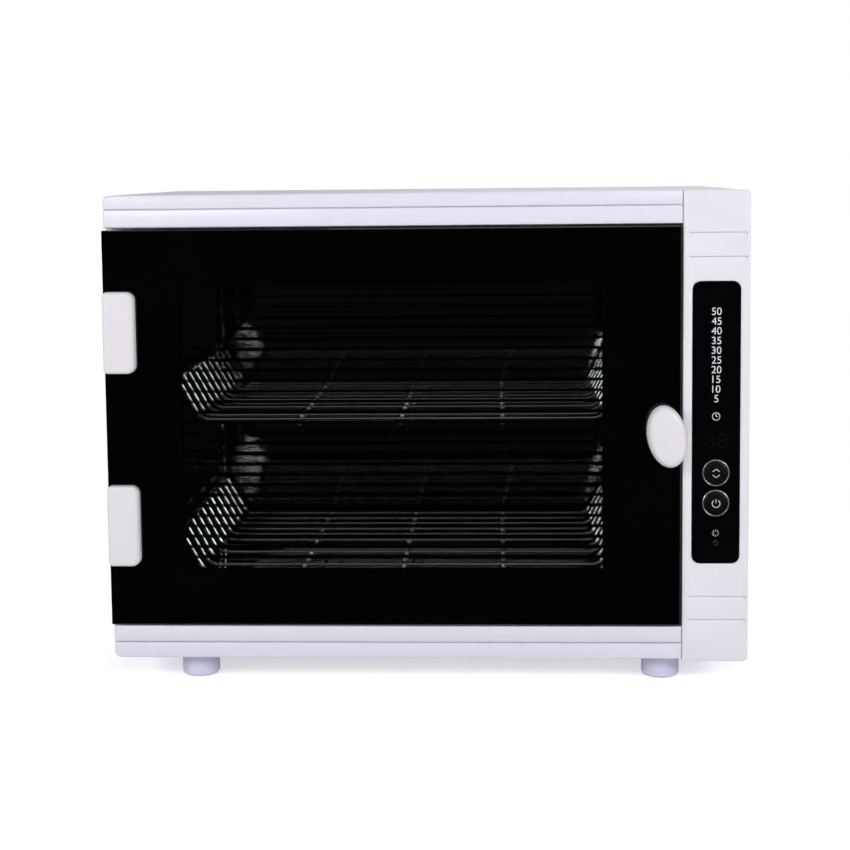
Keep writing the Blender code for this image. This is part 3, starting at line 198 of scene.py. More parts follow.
# Feet
FOOT_RADIUS = 0.0125
FOOT_EDGE = 0.003
FOOT_RECESS_RADIUS = 0.0056
FOOT_RECESS_DEPTH = 0.006
FOOT_SCREW_BORE = 0.0023

# Finishes. Moulded grain, brushing and drawing lines are coarser than real ones, so that they show
NOISE_DETAIL = 2.0
NOISE_SPAN = (0.3, 0.7)  # values of the noise that take a finish from one end of its range to the other
ORANGE_PEEL = (0.0012, 0.000012)  # size across and depth, as in the other grains
SPARK_GRAIN = (0.0005, 0.000004)
FINE_SPARK_GRAIN = (0.0005, 0.000003)
COARSE_SPARK_GRAIN = (0.0006, 0.000006)
LACQUER_GRAIN = (0.0006, 0.000004)
FILM_WAVES = (0.012, 0.000010)
BRUSHING = (0.0006, 0.0000003)
PLATING_WAVES = (0.0025, 0.000004)
WELD_GRAIN = (0.0008, 0.000006)
RING_HAZE = (0.002, 0.000001)
ZINC_BLOTCHES = (0.003, 0.000004)
SILICONE_GRAIN = (0.0015, 0.000008)
RUBBER_GRAIN = (0.002, 0.000006)
DRAWN_RINGS = (0.0006, 0.000003)
BLADE_GRAIN = (0.0012, 0.000002)
LAMINATE_WEAVE = (0.0005, 0.000006)
LENS_WAVES = (0.001, 0.000004)
PRINT_GRAIN = (0.0004, 0.000002)
SEGMENT_GRAIN = (0.0006, 0.000002)
DRAWING_LINES = (0.0008, 0.000002)
GLASS_WAVES = (0.05, 0.000001)
BRUSHED_DEPTHWISE = (1, 24, 1)  # stretch along X, Y and Z
RINGS_ROUND_X = (1, 30, 30)
LINES_ALONG_X = (40, 1, 1)

# Studio
FLOOR_REACH = 12
FLOOR_PATCH = 0.15
FLOOR_ROUGHNESS = 0.9
FLOOR_FADE = (0.25, 0.6)  # distances between which the floor turns into plain white
FLOOR_LIFT = 0.5  # added where the camera sees the floor
FLOOR_GLOW = 0.1  # the same for all other rays
FLOOR_MIRRORED = 0.01
EVEN_LIGHT = 0.24
MIRRORED_IN_FRONT = 0.008  # what mirrors show of the room before the door
MIRRORED_BEHIND = 0.6
MIRRORED_TURN = (-0.7, 0.2)  # directions along Y between which the one turns into the other
STUDIO_LIGHTS = (  # name, place, width and height, power
    ("soft_front_light", (-0.5, -2.0, 1.5), (1.6, 1.2), 2.5),
    ("soft_top_light", (0.3, 0.1, 1.8), (1.4, 1.2), 5),
    ("soft_back_light", (0.5, 1.9, 1.2), (1.4, 1.2), 8),
    ("left_side_light", (-1.2, -1.1, 0.75), (0.9, 0.36), 11.5),
    ("right_side_light", (1.2, -1.1, 0.75), (0.9, 0.36), 11.5),
)

# Camera
CAMERA_PLACE = Vector((0.0480, -1.1765, 0.3371))
CAMERA_PITCH = math.radians(5.267)
CAMERA_YAW = math.radians(-2.571)
CAMERA_ROLL = math.radians(-0.598)
CAMERA_SENSOR = 36
CAMERA_LENS = 69.38
CAMERA_SHIFT = -0.12


def linear(colour):
    """An sRGB colour of six hex digits as the linear colour that a shader takes."""
    channels = [int(colour[start:start + 2], 16) / 255 for start in (0, 2, 4)]
    return (*(c / 12.92 if c <= 0.04045 else ((c + 0.055) / 1.055) ** 2.4 for c in channels), 1.0)


def add_node(tree, kind, inputs=None, **settings):
    """Adds a node to a tree. inputs maps a socket to a value, or to the output or node that feeds it."""
    node = tree.nodes.new(kind)
    for name, value in settings.items():
        setattr(node, name, value)
    for socket, value in (inputs or {}).items():
        source = value.outputs[0] if isinstance(value, bpy.types.Node) else value
        if isinstance(source, bpy.types.NodeSocket):
            tree.links.new(source, node.inputs[socket])
        else:
            node.inputs[socket].default_value = source
    return node


def noise(tree, size, stretch=(1, 1, 1)):
    """A noise whose patches have a real size, drawn out along the axes with a larger stretch."""
    place = add_node(tree, "ShaderNodeTexCoord").outputs["Object"]
    scale = [1 / (size * share) for share in stretch]
    drawn = add_node(tree, "ShaderNodeMapping", {"Vector": place, "Scale": scale})
    return add_node(tree, "ShaderNodeTexNoise", {"Vector": drawn, "Scale": 1.0, "Detail": NOISE_DETAIL})


def spread(tree, pattern, low, high):
    """A noise brought between two limits."""
    limits = {"From Min": NOISE_SPAN[0], "From Max": NOISE_SPAN[1], "To Min": low, "To Max": high}
    return add_node(tree, "ShaderNodeMapRange", {"Value": pattern, **limits})


def mottled(tree, pattern, colours):
    """Two colours blended by a noise."""
    first, second = (linear(colour) for colour in colours)
    share = spread(tree, pattern, 0.0, 1.0)
    return add_node(tree, "ShaderNodeMix", {0: share, 6: first, 7: second}, data_type="RGBA").outputs[2]


def surface(name, colours, roughness, grain, stretch=(1, 1, 1), **constants):
    """A material whose colour, roughness and relief vary with a noise of a real size and depth."""
    material = bpy.data.materials.new(name)
    material.use_nodes = True
    tree = material.node_tree
    shader = tree.nodes["Principled BSDF"]
    size, depth = grain
    pattern = noise(tree, size, stretch)
    relief = add_node(tree, "ShaderNodeBump", {"Height": pattern, "Distance": depth, "Strength": 1.0})
    tree.links.new(mottled(tree, pattern, colours), shader.inputs["Base Color"])
    tree.links.new(spread(tree, pattern, *roughness).outputs["Result"], shader.inputs["Roughness"])
    tree.links.new(relief.outputs["Normal"], shader.inputs["Normal"])
    for socket, value in constants.items():
        shader.inputs[socket.replace("_", " ")].default_value = value
    return material


def powder_coat():
    """Satin powder coat: a fine orange peel that softens the highlights on the case."""
    return surface("satin_powder_coat", ("D6D4E2", "DBD9E6"), roughness=(0.58, 0.68), grain=ORANGE_PEEL)


def white_abs():
    """Moulded white plastic with a cool cast and a fine spark-eroded grain."""
    return surface("moulded_white_abs", ("E1DFEB", "E5E3EF"), roughness=(0.34, 0.42), grain=SPARK_GRAIN)


def panel_abs():
    """Plastic of the control panel, a shade brighter and less blue than the strips beside it."""
    return surface("moulded_panel_abs", ("E4E2E9", "E8E6ED"), roughness=(0.34, 0.42), grain=SPARK_GRAIN)


def warm_white_abs():
    """Smoother white plastic of the knob and hinge covers, a shade warmer than the housing."""
    return surface("moulded_warm_white_abs", ("E1DDE3", "E5E1E7"), roughness=(0.28, 0.36),
                   grain=FINE_SPARK_GRAIN)


def black_abs():
    """Moulded black plastic, matt enough to show its shape."""
    return surface("moulded_black_abs", ("17171B", "1E1E22"), roughness=(0.36, 0.46),
                   grain=COARSE_SPARK_GRAIN)


def button_lacquer():
    """Black lacquer on the button faces, as dark as the film round them but satin."""
    return surface("satin_black_lacquer", ("060608", "0A0A0C"), roughness=(0.30, 0.38), grain=LACQUER_GRAIN)


def black_film():
    """Glossy film printed black on its back, with a faint waviness in its reflections."""
    return surface("back_printed_black_film", ("020204", "040406"), roughness=(0.10, 0.16), grain=FILM_WAVES)


def polished_stainless():
    """Bright polished sheet with faint brushing along the chamber's depth."""
    return surface("polished_stainless_sheet", ("A2A3A5", "ADAEB0"), roughness=(0.04, 0.07), grain=BRUSHING,
                   stretch=BRUSHED_DEPTHWISE, Metallic=1.0)


def chromed_wire():
    """Bright chromed wire with the slight unevenness of its plating."""
    return surface("bright_chromed_wire", ("E3EAE7", "EBF1EE"), roughness=(0.08, 0.14), grain=PLATING_WAVES,
                   Metallic=1.0)


def welded_ends():
    """Ground weld beads and ball ends of the basket wires, hazier than the wires themselves."""
    return surface("hazed_weld_metal", ("C4C6C6", "D2D4D4"), roughness=(0.36, 0.46), grain=WELD_GRAIN,
                   Metallic=1.0)


def satin_chrome():
    """Satin chrome of the button rings, hazy enough to shine evenly all the way round."""
    return surface("satin_chrome", ("E2E2E6", "ECECEF"), roughness=(0.34, 0.42), grain=RING_HAZE,
                   Metallic=1.0)


def zinc_plate():
    """Zinc plated steel with a dull, slightly blotchy shine."""
    return surface("zinc_plated_steel", ("A9AAAC", "BDBEC0"), roughness=(0.26, 0.36), grain=ZINC_BLOTCHES,
                   Metallic=1.0)


def seal_silicone():
    """Light grey silicone, matt, with a soft edge glow."""
    return surface("grey_silicone", ("A6A6AC", "B2B2B8"), roughness=(0.55, 0.68), grain=SILICONE_GRAIN,
                   Sheen_Weight=0.15)


def foot_rubber():
    """Off-white rubber of the feet, satin with a little grime in its grain."""
    return surface("off_white_rubber", ("D2D2EA", "D8D8EE"), roughness=(0.48, 0.60), grain=RUBBER_GRAIN)


def cap_aluminium():
    """Drawn aluminium of the lamp caps, with rings round them."""
    return surface("drawn_aluminium", ("BFC0C2", "D0D1D3"), roughness=(0.22, 0.32), grain=DRAWN_RINGS,
                   stretch=RINGS_ROUND_X, Metallic=1.0)


def nickel_brass():
    """Nickel plated brass of the contact blades, slightly warm."""
    return surface("nickel_plated_brass", ("CFC6AE", "DAD2BC"), roughness=(0.20, 0.30), grain=BLADE_GRAIN,
                   Metallic=1.0)


def board_laminate():
    """Green solder resist over glass laminate, with its weave showing faintly."""
    return surface("green_solder_resist", ("10402A", "17502F"), roughness=(0.30, 0.42), grain=LAMINATE_WEAVE,
                   Coat_Weight=0.4)


def red_lens():
    """Dark red lens of the indicator lamp, unlit."""
    return surface("dark_red_lens", ("1E0609", "28080C"), roughness=(0.12, 0.18), grain=LENS_WAVES,
                   Coat_Weight=0.6)


def white_ink():
    """White screen print, matt and slightly uneven in cover."""
    return surface("white_screen_print", ("C9CAD0", "DADBE0"), roughness=(0.55, 0.68), grain=PRINT_GRAIN)


def grey_ink():
    """Unlit display segments that hardly show through the film."""
    return surface("unlit_display_segments", ("0D0B0C", "110E0F"), roughness=(0.20, 0.28),
                   grain=SEGMENT_GRAIN)


def quartz():
    """Clear quartz tube with faint drawing lines along it."""
    return surface("drawn_quartz", ("F2F5F8", "FBFCFD"), roughness=(0.01, 0.04), grain=DRAWING_LINES,
                   stretch=LINES_ALONG_X, Transmission_Weight=1.0, IOR=1.46)


def inside(tree, coordinate, limits):
    """One between two limits of a coordinate, and nought elsewhere."""
    above = add_node(tree, "ShaderNodeMath", {0: coordinate, 1: limits[0]}, operation="GREATER_THAN")
    below = add_node(tree, "ShaderNodeMath", {0: coordinate, 1: limits[1]}, operation="LESS_THAN")
    return add_node(tree, "ShaderNodeMath", {0: above, 1: below}, operation="MULTIPLY")


def tinted_glass():
    """Black tinted door glass: a black border, a see-through window and thin black lines across it."""
    material = surface("black_tinted_glass", ("010102", "020203"), roughness=(0.02, 0.035),
                       grain=GLASS_WAVES)
    tree = material.node_tree
    place = add_node(tree, "ShaderNodeTexCoord").outputs["Object"]
    across, _, up = add_node(tree, "ShaderNodeSeparateXYZ", {"Vector": place}).outputs
    lines = {0: up, 1: PRINTED_LINES_UP[0]}
    height = add_node(tree, "ShaderNodeMath", lines, operation="SUBTRACT")
    turns = add_node(tree, "ShaderNodeMath", {0: height, 1: PRINTED_LINE_PITCH}, operation="DIVIDE")
    part = add_node(tree, "ShaderNodeMath", {0: turns}, operation="FRACT")
    share = PRINTED_LINE_WIDTH / PRINTED_LINE_PITCH
    dark = add_node(tree, "ShaderNodeMath", {0: part, 1: share}, operation="LESS_THAN")
    printed = {0: dark, 1: inside(tree, up, PRINTED_LINES_UP)}
    line = add_node(tree, "ShaderNodeMath", printed, operation="MULTIPLY")
    window = {0: inside(tree, across, WINDOW_ACROSS), 1: inside(tree, up, WINDOW_UP)}
    pane = add_node(tree, "ShaderNodeMath", window, operation="MULTIPLY")
    bare = add_node(tree, "ShaderNodeMath", {0: 1.0, 1: line}, operation="SUBTRACT")
    clear = add_node(tree, "ShaderNodeMath", {0: pane, 1: bare}, operation="MULTIPLY")
    passed = add_node(tree, "ShaderNodeMath", {0: clear, 1: WINDOW_CLEARNESS}, operation="MULTIPLY")
    alpha = add_node(tree, "ShaderNodeMath", {0: 1.0, 1: passed}, operation="SUBTRACT")
    tree.links.new(alpha.outputs["Value"], tree.nodes["Principled BSDF"].inputs["Alpha"])
    return material


def new_piece(name, shape, material):
    """An object of a shape, smooth but for its sharp edges."""
    mesh = bpy.data.meshes.new(name)
    shape.to_mesh(mesh)
    shape.free()
    mesh.materials.append(material)
    mesh.shade_smooth()
    mesh.set_sharp_from_angle(angle=SMOOTH_ANGLE)
    piece = bpy.data.objects.new(name, mesh)
    bpy.context.scene.collection.objects.link(piece)
    return piece


def settle(piece):
    """Turns a piece with modifiers into a plain mesh."""
    made = bpy.data.meshes.new_from_object(piece.evaluated_get(bpy.context.evaluated_depsgraph_get()))
    piece.modifiers.clear()
    piece.data = made
    return piece


def dress(piece, slot, body, *nodes):
    """Puts a piece on its body, in place of the CAD nodes that it stands for."""
    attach(piece, body)
    if nodes:
        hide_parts(*nodes)


def body_of(node):
    """Name of the body that a CAD node belongs to."""
    return frame["nodes"][node]["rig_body"]


def paint_node(node, material):
    """Gives a CAD node that stays in view its material."""
    mesh = frame["nodes"][node].data
    mesh.materials.clear()
    mesh.materials.append(material)


def rounded_copy(node, material, slot, width, segments=2, flat=False):
    """A copy of a CAD node with its sharp edges rounded or, if flat, cut off, in the node's place."""
    shape = bmesh.new()
    shape.from_mesh(frame["nodes"][node].data)
    bmesh.ops.remove_doubles(shape, verts=shape.verts, dist=MERGE_DISTANCE)
    bmesh.ops.dissolve_limit(shape, angle_limit=FLAT_ANGLE, verts=shape.verts, edges=shape.edges)
    bmesh.ops.recalc_face_normals(shape, faces=shape.faces)
    piece = new_piece(f"finished_{node}", shape, material)
    edges = piece.modifiers.new("Rounded edges", "BEVEL")
    edges.width = width
    edges.segments = segments
    edges.limit_method = "ANGLE"
    edges.angle_limit = SMOOTH_ANGLE
    edges.harden_normals = not flat
    settle(piece)
    if flat:
        piece.data.shade_flat()
    dress(piece, slot, body_of(node), node)


def block(across, depth, up):
    """A plain box between two limits on each axis."""
    size = Vector((across[1] - across[0], depth[1] - depth[0], up[1] - up[0]))
    middle = Vector((across[0] + across[1], depth[0] + depth[1], up[0] + up[1])) / 2
    shape = bmesh.new()
    bmesh.ops.create_cube(shape, size=1, matrix=Matrix.Translation(middle) @ Matrix.Diagonal(size).to_4x4())
    return shape


def round_edges(shape, width, steps, edges):
    """Rounds some edges of a shape."""
    bmesh.ops.bevel(shape, geom=edges, offset=width, segments=steps, profile=0.5, affect="EDGES")
    bmesh.ops.recalc_face_normals(shape, faces=shape.faces)


def is_corner(edge, side):
    """Whether an edge runs from front to back at a side."""
    first, second = (vertex.co for vertex in edge.verts)
    level = abs(first.z - second.z) < MERGE_DISTANCE
    return level and all(abs(place.x - side) < MERGE_DISTANCE for place in (first, second))


def turned(profile, centre, axis, sides=ROUND_SIDES):
    """A profile of (radius, distance along the axis) turned round a line through the centre."""
    shape = bmesh.new()
    places = [shape.verts.new((radius, 0, along)) for radius, along in profile]
    edges = [shape.edges.new(pair) for pair in zip(places, places[1:])]
    bmesh.ops.spin(shape, geom=places + edges, cent=(0, 0, 0), axis=(0, 0, 1), angle=2 * math.pi,
                   steps=sides, use_merge=True, use_duplicate=False)
    turn = {"X": Matrix.Rotation(math.pi / 2, 4, "Y"), "Y": Matrix.Rotation(-math.pi / 2, 4, "X"),
            "Z": Matrix.Identity(4)}[axis]
    bmesh.ops.transform(shape, matrix=Matrix.Translation(centre) @ turn, verts=shape.verts)
    bmesh.ops.remove_doubles(shape, verts=shape.verts, dist=FINE_MERGE_DISTANCE)
    bmesh.ops.recalc_face_normals(shape, faces=shape.faces)
    return shape


def gather(shapes):
    """One shape made of several."""
    whole = bmesh.new()
    for shape in shapes:
        mesh = bpy.data.meshes.new("gathered")
        shape.to_mesh(mesh)
        shape.free()
        whole.from_mesh(mesh)
        bpy.data.meshes.remove(mesh)
    return whole


def arc(centre, radius, start, end, steps):
    """Points of an arc, with angles in quarter turns, counted from the first axis to the second."""
    angles = [(start + (end - start) * step / steps) * math.pi / 2 for step in range(steps + 1)]
    return [(centre[0] + radius * math.cos(angle), centre[1] + radius * math.sin(angle)) for angle in angles]


def curved(points, steps):
    """More points along a smooth curve that passes through the given ones."""
    ends = [points[0], *points, points[-1]]
    made = []
    for before, start, end, after in zip(ends, ends[1:], ends[2:], ends[3:]):
        for step in range(steps):
            t = step / steps
            made.append(tuple(0.5 * (2 * b + (c - a) * t + (2 * a - 5 * b + 4 * c - d) * t ** 2
                                     + (3 * b - a - 3 * c + d) * t ** 3)
                              for a, b, c, d in zip(before, start, end, after)))
    return [*made, points[-1]]


def stroke(points, front, width=STROKE):
    """A printed line through points of the front plane, with mitred corners."""
    places = [Vector(point) for point in points]
    shape = bmesh.new()
    rows = []
    for number, place in enumerate(places):
        before = places[max(number - 1, 0)]
        after = places[min(number + 1, len(places) - 1)]
        along = (after - before).normalized()
        aside = Vector((-along.y, along.x)) * width / 2
        rows.append([shape.verts.new((edge.x, front + depth, edge.y))
                     for edge in (place - aside, place + aside) for depth in (0, INK)])
    for first, second in zip(rows, rows[1:]):
        for one, other in ((0, 1), (1, 3), (3, 2), (2, 0)):
            shape.faces.new((first[one], first[other], second[other], second[one]))
    for row in (rows[0], rows[-1]):
        shape.faces.new((row[0], row[1], row[3], row[2]))
    bmesh.ops.recalc_face_normals(shape, faces=shape.faces)
    return shape


def lettering(words, height, middle, front):
    """Upright words of a real height, facing the front, round a middle in the front plane."""
    text = bpy.data.curves.new("lettering", "FONT")
    text.body = words
    text.extrude = INK / 2
    holder = bpy.data.objects.new("lettering", text)
    bpy.context.scene.collection.objects.link(holder)
    mesh = bpy.data.meshes.new_from_object(holder.evaluated_get(bpy.context.evaluated_depsgraph_get()))
    bpy.data.objects.remove(holder)
    shape = bmesh.new()
    shape.from_mesh(mesh)
    bpy.data.meshes.remove(mesh)
    low = Vector([min(v.co[axis] for v in shape.verts) for axis in range(3)])
    high = Vector([max(v.co[axis] for v in shape.verts) for axis in range(3)])
    scale = height / (high.y - low.y)
    centre = (low + high) / 2
    for vertex in shape.verts:
        across, up = (vertex.co.x - centre.x) * scale, (vertex.co.y - centre.y) * scale
        vertex.co = Vector((middle[0] + across, front + INK / 2 - vertex.co.z, middle[1] + up))
    bmesh.ops.remove_doubles(shape, verts=shape.verts, dist=FINE_MERGE_DISTANCE)
    bmesh.ops.recalc_face_normals(shape, faces=shape.faces)
    return shape


def make_knob(material):
    """Oval knob with a soft waist and a flat, gently rounded face."""
    low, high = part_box("door_knob")
    middle = (low + high) / 2
    shape = bmesh.new()
    rings = []
    for share, height in curved(KNOB_SECTION, KNOB_SECTION_STEPS)[:-1]:
        ring = []
        for side in range(ROUND_SIDES):
            angle = 2 * math.pi * side / ROUND_SIDES
            ring.append(shape.verts.new((KNOB_WIDTH / 2 * min(share, 1) * math.cos(angle),
                                         high.y + (low.y - high.y) * height,
                                         KNOB_LENGTH / 2 * min(share, 1) * math.sin(angle))))
        rings.append(ring)
    for lower, upper in zip(rings, rings[1:]):
        for side in range(ROUND_SIDES):
            following = (side + 1) % ROUND_SIDES
            shape.faces.new((lower[side], lower[following], upper[following], upper[side]))
    shape.faces.new(rings[0])
    shape.faces.new(rings[-1])
    bmesh.ops.recalc_face_normals(shape, faces=shape.faces)
    place = Matrix.Translation((middle.x, 0, middle.z)) @ Matrix.Rotation(KNOB_TILT, 4, "Y")
    bmesh.ops.transform(shape, matrix=place, verts=shape.verts)
    dress(new_piece("oval_knob", shape, material), "white_plastic", body_of("door_knob"), "door_knob")


def make_hinge_covers(material):
    """Rounded white blocks on the glass, each with its leaf behind the glass and its barrel."""
    hinge = next(joint for joint in frame["joints"] if joint["name"] == "door_hinge")
    axis = Vector(hinge["pos_m"])
    glass_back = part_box("door_glass")[1].y
    for name in ("hinge_cover_upper", "hinge_cover_lower"):
        low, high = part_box(name)
        middle_z = (low.z + high.z) / 2
        bracket_low, bracket_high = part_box(name.replace("cover", "bracket"))
        half = (bracket_high.z - bracket_low.z) / 2 - BARREL_END_SPACE
        up = (middle_z - half, middle_z + half)
        cover = block((low.x, low.x + COVER_WIDTH), (low.y, low.y + COVER_THICKNESS), (low.z, high.z))
        for radius, side in ((COVER_INNER_CORNER, low.x + COVER_WIDTH), (COVER_OUTER_CORNER, low.x)):
            chosen = [edge for edge in cover.edges if is_corner(edge, side)]
            round_edges(cover, radius, BEND_STEPS, chosen)
        rim = [edge for edge in cover.edges if all(v.co.y < low.y + MERGE_DISTANCE for v in edge.verts)]
        round_edges(cover, COVER_EDGE, BEND_STEPS, rim)
        web = block((axis.x - WEB_REACH[0], axis.x + WEB_REACH[1]), (low.y + COVER_THICKNESS / 2, axis.y), up)
        leaf_front = glass_back + SHEET_EDGE
        leaf = block((axis.x, axis.x + LEAF_REACH), (leaf_front, leaf_front + LEAF_THICKNESS), up)
        barrel = turned([(BARREL_BORE, up[0]), (BARREL_RADIUS, up[0]), (BARREL_RADIUS, up[1]),
                         (BARREL_BORE, up[1]), (BARREL_BORE, up[0])], (axis.x, axis.y, 0), "Z")
        piece = new_piece(f"rounded_{name}", gather((cover, web, leaf, barrel)), material)
        dress(piece, "white_plastic", body_of(name), name)


def ring_section(low, high):
    """Section of a button's ring: a rounded lip before the label and a neck behind it."""
    lip_back = low.y + RING_LIP
    middle = (RING_INSIDE + RING_OUTSIDE) / 2
    angles = [math.pi * step / BEND_STEPS for step in range(BEND_STEPS + 1)]
    lip = [(middle - (middle - RING_INSIDE) * math.cos(angle), lip_back - RING_LIP * math.sin(angle))
           for angle in angles]
    return [*lip, (RING_NECK, lip_back), (RING_NECK, high.y), (RING_INSIDE, high.y), lip[0]]


def power_mark(middle, front):
    """An open circle with an upright stroke."""
    ring = arc((middle.x, middle.z), POWER_MARK_RADIUS, *POWER_MARK_TURNS, 4 * BEND_STEPS)
    stem = [(middle.x, middle.z + POWER_MARK_RADIUS * share) for share in POWER_MARK_STEM]
    return gather([stroke(ring, front), stroke(stem, front)])


def select_mark(middle, front):
    """Two chevrons, one up and one down."""
    foot, tip = (CHEVRON_REACH * share for share in CHEVRON_SPAN)
    return gather([stroke([(middle.x + across * CHEVRON_REACH, middle.z + way * rise)
                           for across, rise in ((-1, foot), (0, tip), (1, foot))], front)
                   for way in (1, -1)])


def make_buttons(plastic, bright, ink):
    """Two round buttons with a slightly domed face, in thin bright rings, with their marks."""
    for name, mark in (("select_button", select_mark), ("power_button", power_mark)):
        low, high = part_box(name)
        middle = (low + high) / 2
        centre = (middle.x, 0, middle.z)
        edge_middle = (BUTTON_RADIUS - BUTTON_EDGE, low.y + BUTTON_CROWN + BUTTON_EDGE)
        edge = arc(edge_middle, BUTTON_EDGE, -1, 0, BEND_STEPS)
        profile = [(0, low.y), (BUTTON_RADIUS / 2, low.y + BUTTON_CROWN / 4), *edge,
                   (BUTTON_RADIUS, high.y), (0, high.y)]
        face = new_piece(f"domed_{name}", turned(profile, centre, "Y"), plastic)
        dress(face, "black_plastic", body_of(name), name)
        node = f"{name}_ring"
        ring = new_piece(f"turned_{node}", turned(ring_section(*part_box(node)), centre, "Y"), bright)
        dress(ring, "chrome", body_of(node), node)
        print_on_face = new_piece(f"{name}_mark", mark(middle, low.y - INK / 4), ink)
        dress(print_on_face, "black_plastic", body_of(name))


def make_label_print(ink):
    """A column of plain numbers, a small clock and a lamp mark on the label."""
    low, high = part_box("panel_label")
    front = low.y - INK / 2
    middle = (low.x + high.x) / 2
    top = NUMBERS_TOP - NUMBER_HEIGHT / 2
    marks = [lettering(str(NUMBER_STEP * (NUMBER_COUNT - number)), NUMBER_HEIGHT,
                       (middle, top - number * NUMBER_PITCH), front)
             for number in range(NUMBER_COUNT)]
    upright, level = (CLOCK_RADIUS * share for share in CLOCK_HANDS)
    hands = [(middle, CLOCK_Z + upright), (middle, CLOCK_Z), (middle + level, CLOCK_Z)]
    marks.append(stroke(arc((middle, CLOCK_Z), CLOCK_RADIUS, 0, 4, 4 * BEND_STEPS), front))
    marks.append(stroke(hands, front))
    lens_low, lens_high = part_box("indicator_lens")
    centre = Vector((middle, (lens_low.z + lens_high.z) / 2 + LAMP_MARK_RISE))
    for ray in range(LAMP_MARK_RAYS):
        angle = 2 * math.pi * ray / LAMP_MARK_RAYS
        reach = Vector((math.cos(angle), math.sin(angle))) * CLOCK_RADIUS
        marks.append(stroke([centre + reach * LAMP_MARK_INSIDE, centre + reach], front, THIN_STROKE))
    dress(new_piece("label_print", gather(marks), ink), "label_film", body_of("panel_label"))


def make_digits(faint):
    """Two unlit digits of seven segments that show faintly in the label's film."""
    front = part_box("panel_label")[0].y - INK / 2
    low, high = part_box("time_display")
    middle = (low + high) / 2
    half_width, half_height = DISPLAY_DIGIT_WIDTH / 2, DISPLAY_DIGIT_HEIGHT / 2
    digits = []
    for side in (-1, 1):
        x = middle.x + side * DISPLAY_DIGIT_PITCH / 2
        for level in (-1, 0, 1):
            z = middle.z + level * half_height
            ends = [(x - half_width + SEGMENT_GAP, z), (x + half_width - SEGMENT_GAP, z)]
            digits.append(stroke(ends, front, SEGMENT_WIDTH))
        for edge in (-1, 1):
            for level in (-1, 1):
                ends = [(x + edge * half_width, middle.z + level * rise)
                        for rise in (SEGMENT_GAP, half_height - SEGMENT_GAP)]
                digits.append(stroke(ends, front, SEGMENT_WIDTH))
    dress(new_piece("unlit_digits", gather(digits), faint), "label_film", body_of("time_display"))


def shape_tree(name, inputs, output):
    """A new node tree with its inputs, given as pairs of a name and a kind, and one shape as output."""
    tree = bpy.data.node_groups.new(name, "GeometryNodeTree")
    for title, kind in inputs:
        tree.interface.new_socket(title, in_out="INPUT", socket_type=f"NodeSocket{kind}")
    tree.interface.new_socket(output, in_out="OUTPUT", socket_type="NodeSocketGeometry")
    return tree


def repeat_on_points(tree, points, pattern, finish, output):
    """Ends a tree: the pattern on every point, made real and given its finish."""
    placed = add_node(tree, "GeometryNodeInstanceOnPoints", {"Points": points, "Instance": pattern})
    real = add_node(tree, "GeometryNodeRealizeInstances", {"Geometry": placed})
    coated = add_node(tree, "GeometryNodeSetMaterial", {"Geometry": real, "Material": finish})
    add_node(tree, "NodeGroupOutput", {output: coated})


def grown(piece, tree, **wanted):
    """A piece turned into what a node tree makes of it, with the tree's inputs given by name."""
    change = piece.modifiers.new(tree.name, "NODES")
    change.node_group = tree
    names = {item.name: item.identifier for item in tree.interface.items_tree if item.in_out == "INPUT"}
    for key, value in wanted.items():
        change[names[key.replace("_", " ")]] = value
    return settle(piece)


def wire_tree():
    """Node tree that rounds a bent path, thickens it to a wire and repeats it in a row."""
    inputs = (("Path", "Geometry"), ("Bend radius", "Float"), ("Wire radius", "Float"), ("Count", "Int"),
              ("Step", "Vector"), ("Finish", "Material"))
    tree = shape_tree("row_of_wires", inputs, "Wires")
    given = add_node(tree, "NodeGroupInput").outputs
    path = add_node(tree, "GeometryNodeMeshToCurve", {"Mesh": given["Path"]})
    bend = {"Curve": path, "Radius": given["Bend radius"], "Count": BEND_STEPS}
    bent = add_node(tree, "GeometryNodeFilletCurve", bend, mode="POLY")
    circle = {"Resolution": WIRE_SIDES, "Radius": given["Wire radius"]}
    section = add_node(tree, "GeometryNodeCurvePrimitiveCircle", circle)
    sweep = {"Curve": bent, "Profile Curve": section, "Fill Caps": True}
    wire = add_node(tree, "GeometryNodeCurveToMesh", sweep)
    row = add_node(tree, "GeometryNodeMeshLine", {"Count": given["Count"], "Offset": given["Step"]})
    repeat_on_points(tree, row, wire, given["Finish"], "Wires")
    return tree


def row_of_wires(tree, name, path, material, **wanted):
    """A row of equal wires that follow a path."""
    shape = bmesh.new()
    places = [shape.verts.new(point) for point in path]
    for pair in zip(places, places[1:]):
        shape.edges.new(pair)
    piece = grown(new_piece(name, shape, material), tree, Finish=material, **wanted)
    piece.data.shade_smooth()
    piece.data.set_sharp_from_angle(angle=SMOOTH_ANGLE)
    return piece


def set_tree():
    """Node tree that puts one pattern on every point of a mesh."""
    inputs = (("Places", "Geometry"), ("Pattern", "Object"), ("Finish", "Material"))
    tree = shape_tree("set_of_pieces", inputs, "Pieces")
    given = add_node(tree, "NodeGroupInput").outputs
    pattern = add_node(tree, "GeometryNodeObjectInfo", {"Object": given["Pattern"]}).outputs["Geometry"]
    repeat_on_points(tree, given["Places"], pattern, given["Finish"], "Pieces")
    return tree


def set_of_pieces(tree, name, pattern, seats, material):
    """Equal pieces on their seats, after a pattern that is used up."""
    places = bmesh.new()
    for seat in seats:
        places.verts.new(seat)
    piece = grown(new_piece(name, places, material), tree, Pattern=pattern, Finish=material)
    bpy.data.objects.remove(pattern)
    return piece


def ball(radius, sides, material):
    """A ball round the origin."""
    profile = [(across, along) for along, across in arc((0, 0), radius, 2, 0, sides // 2)]
    return new_piece("ball_pattern", turned(profile, (0, 0, 0), "Y", sides), material)


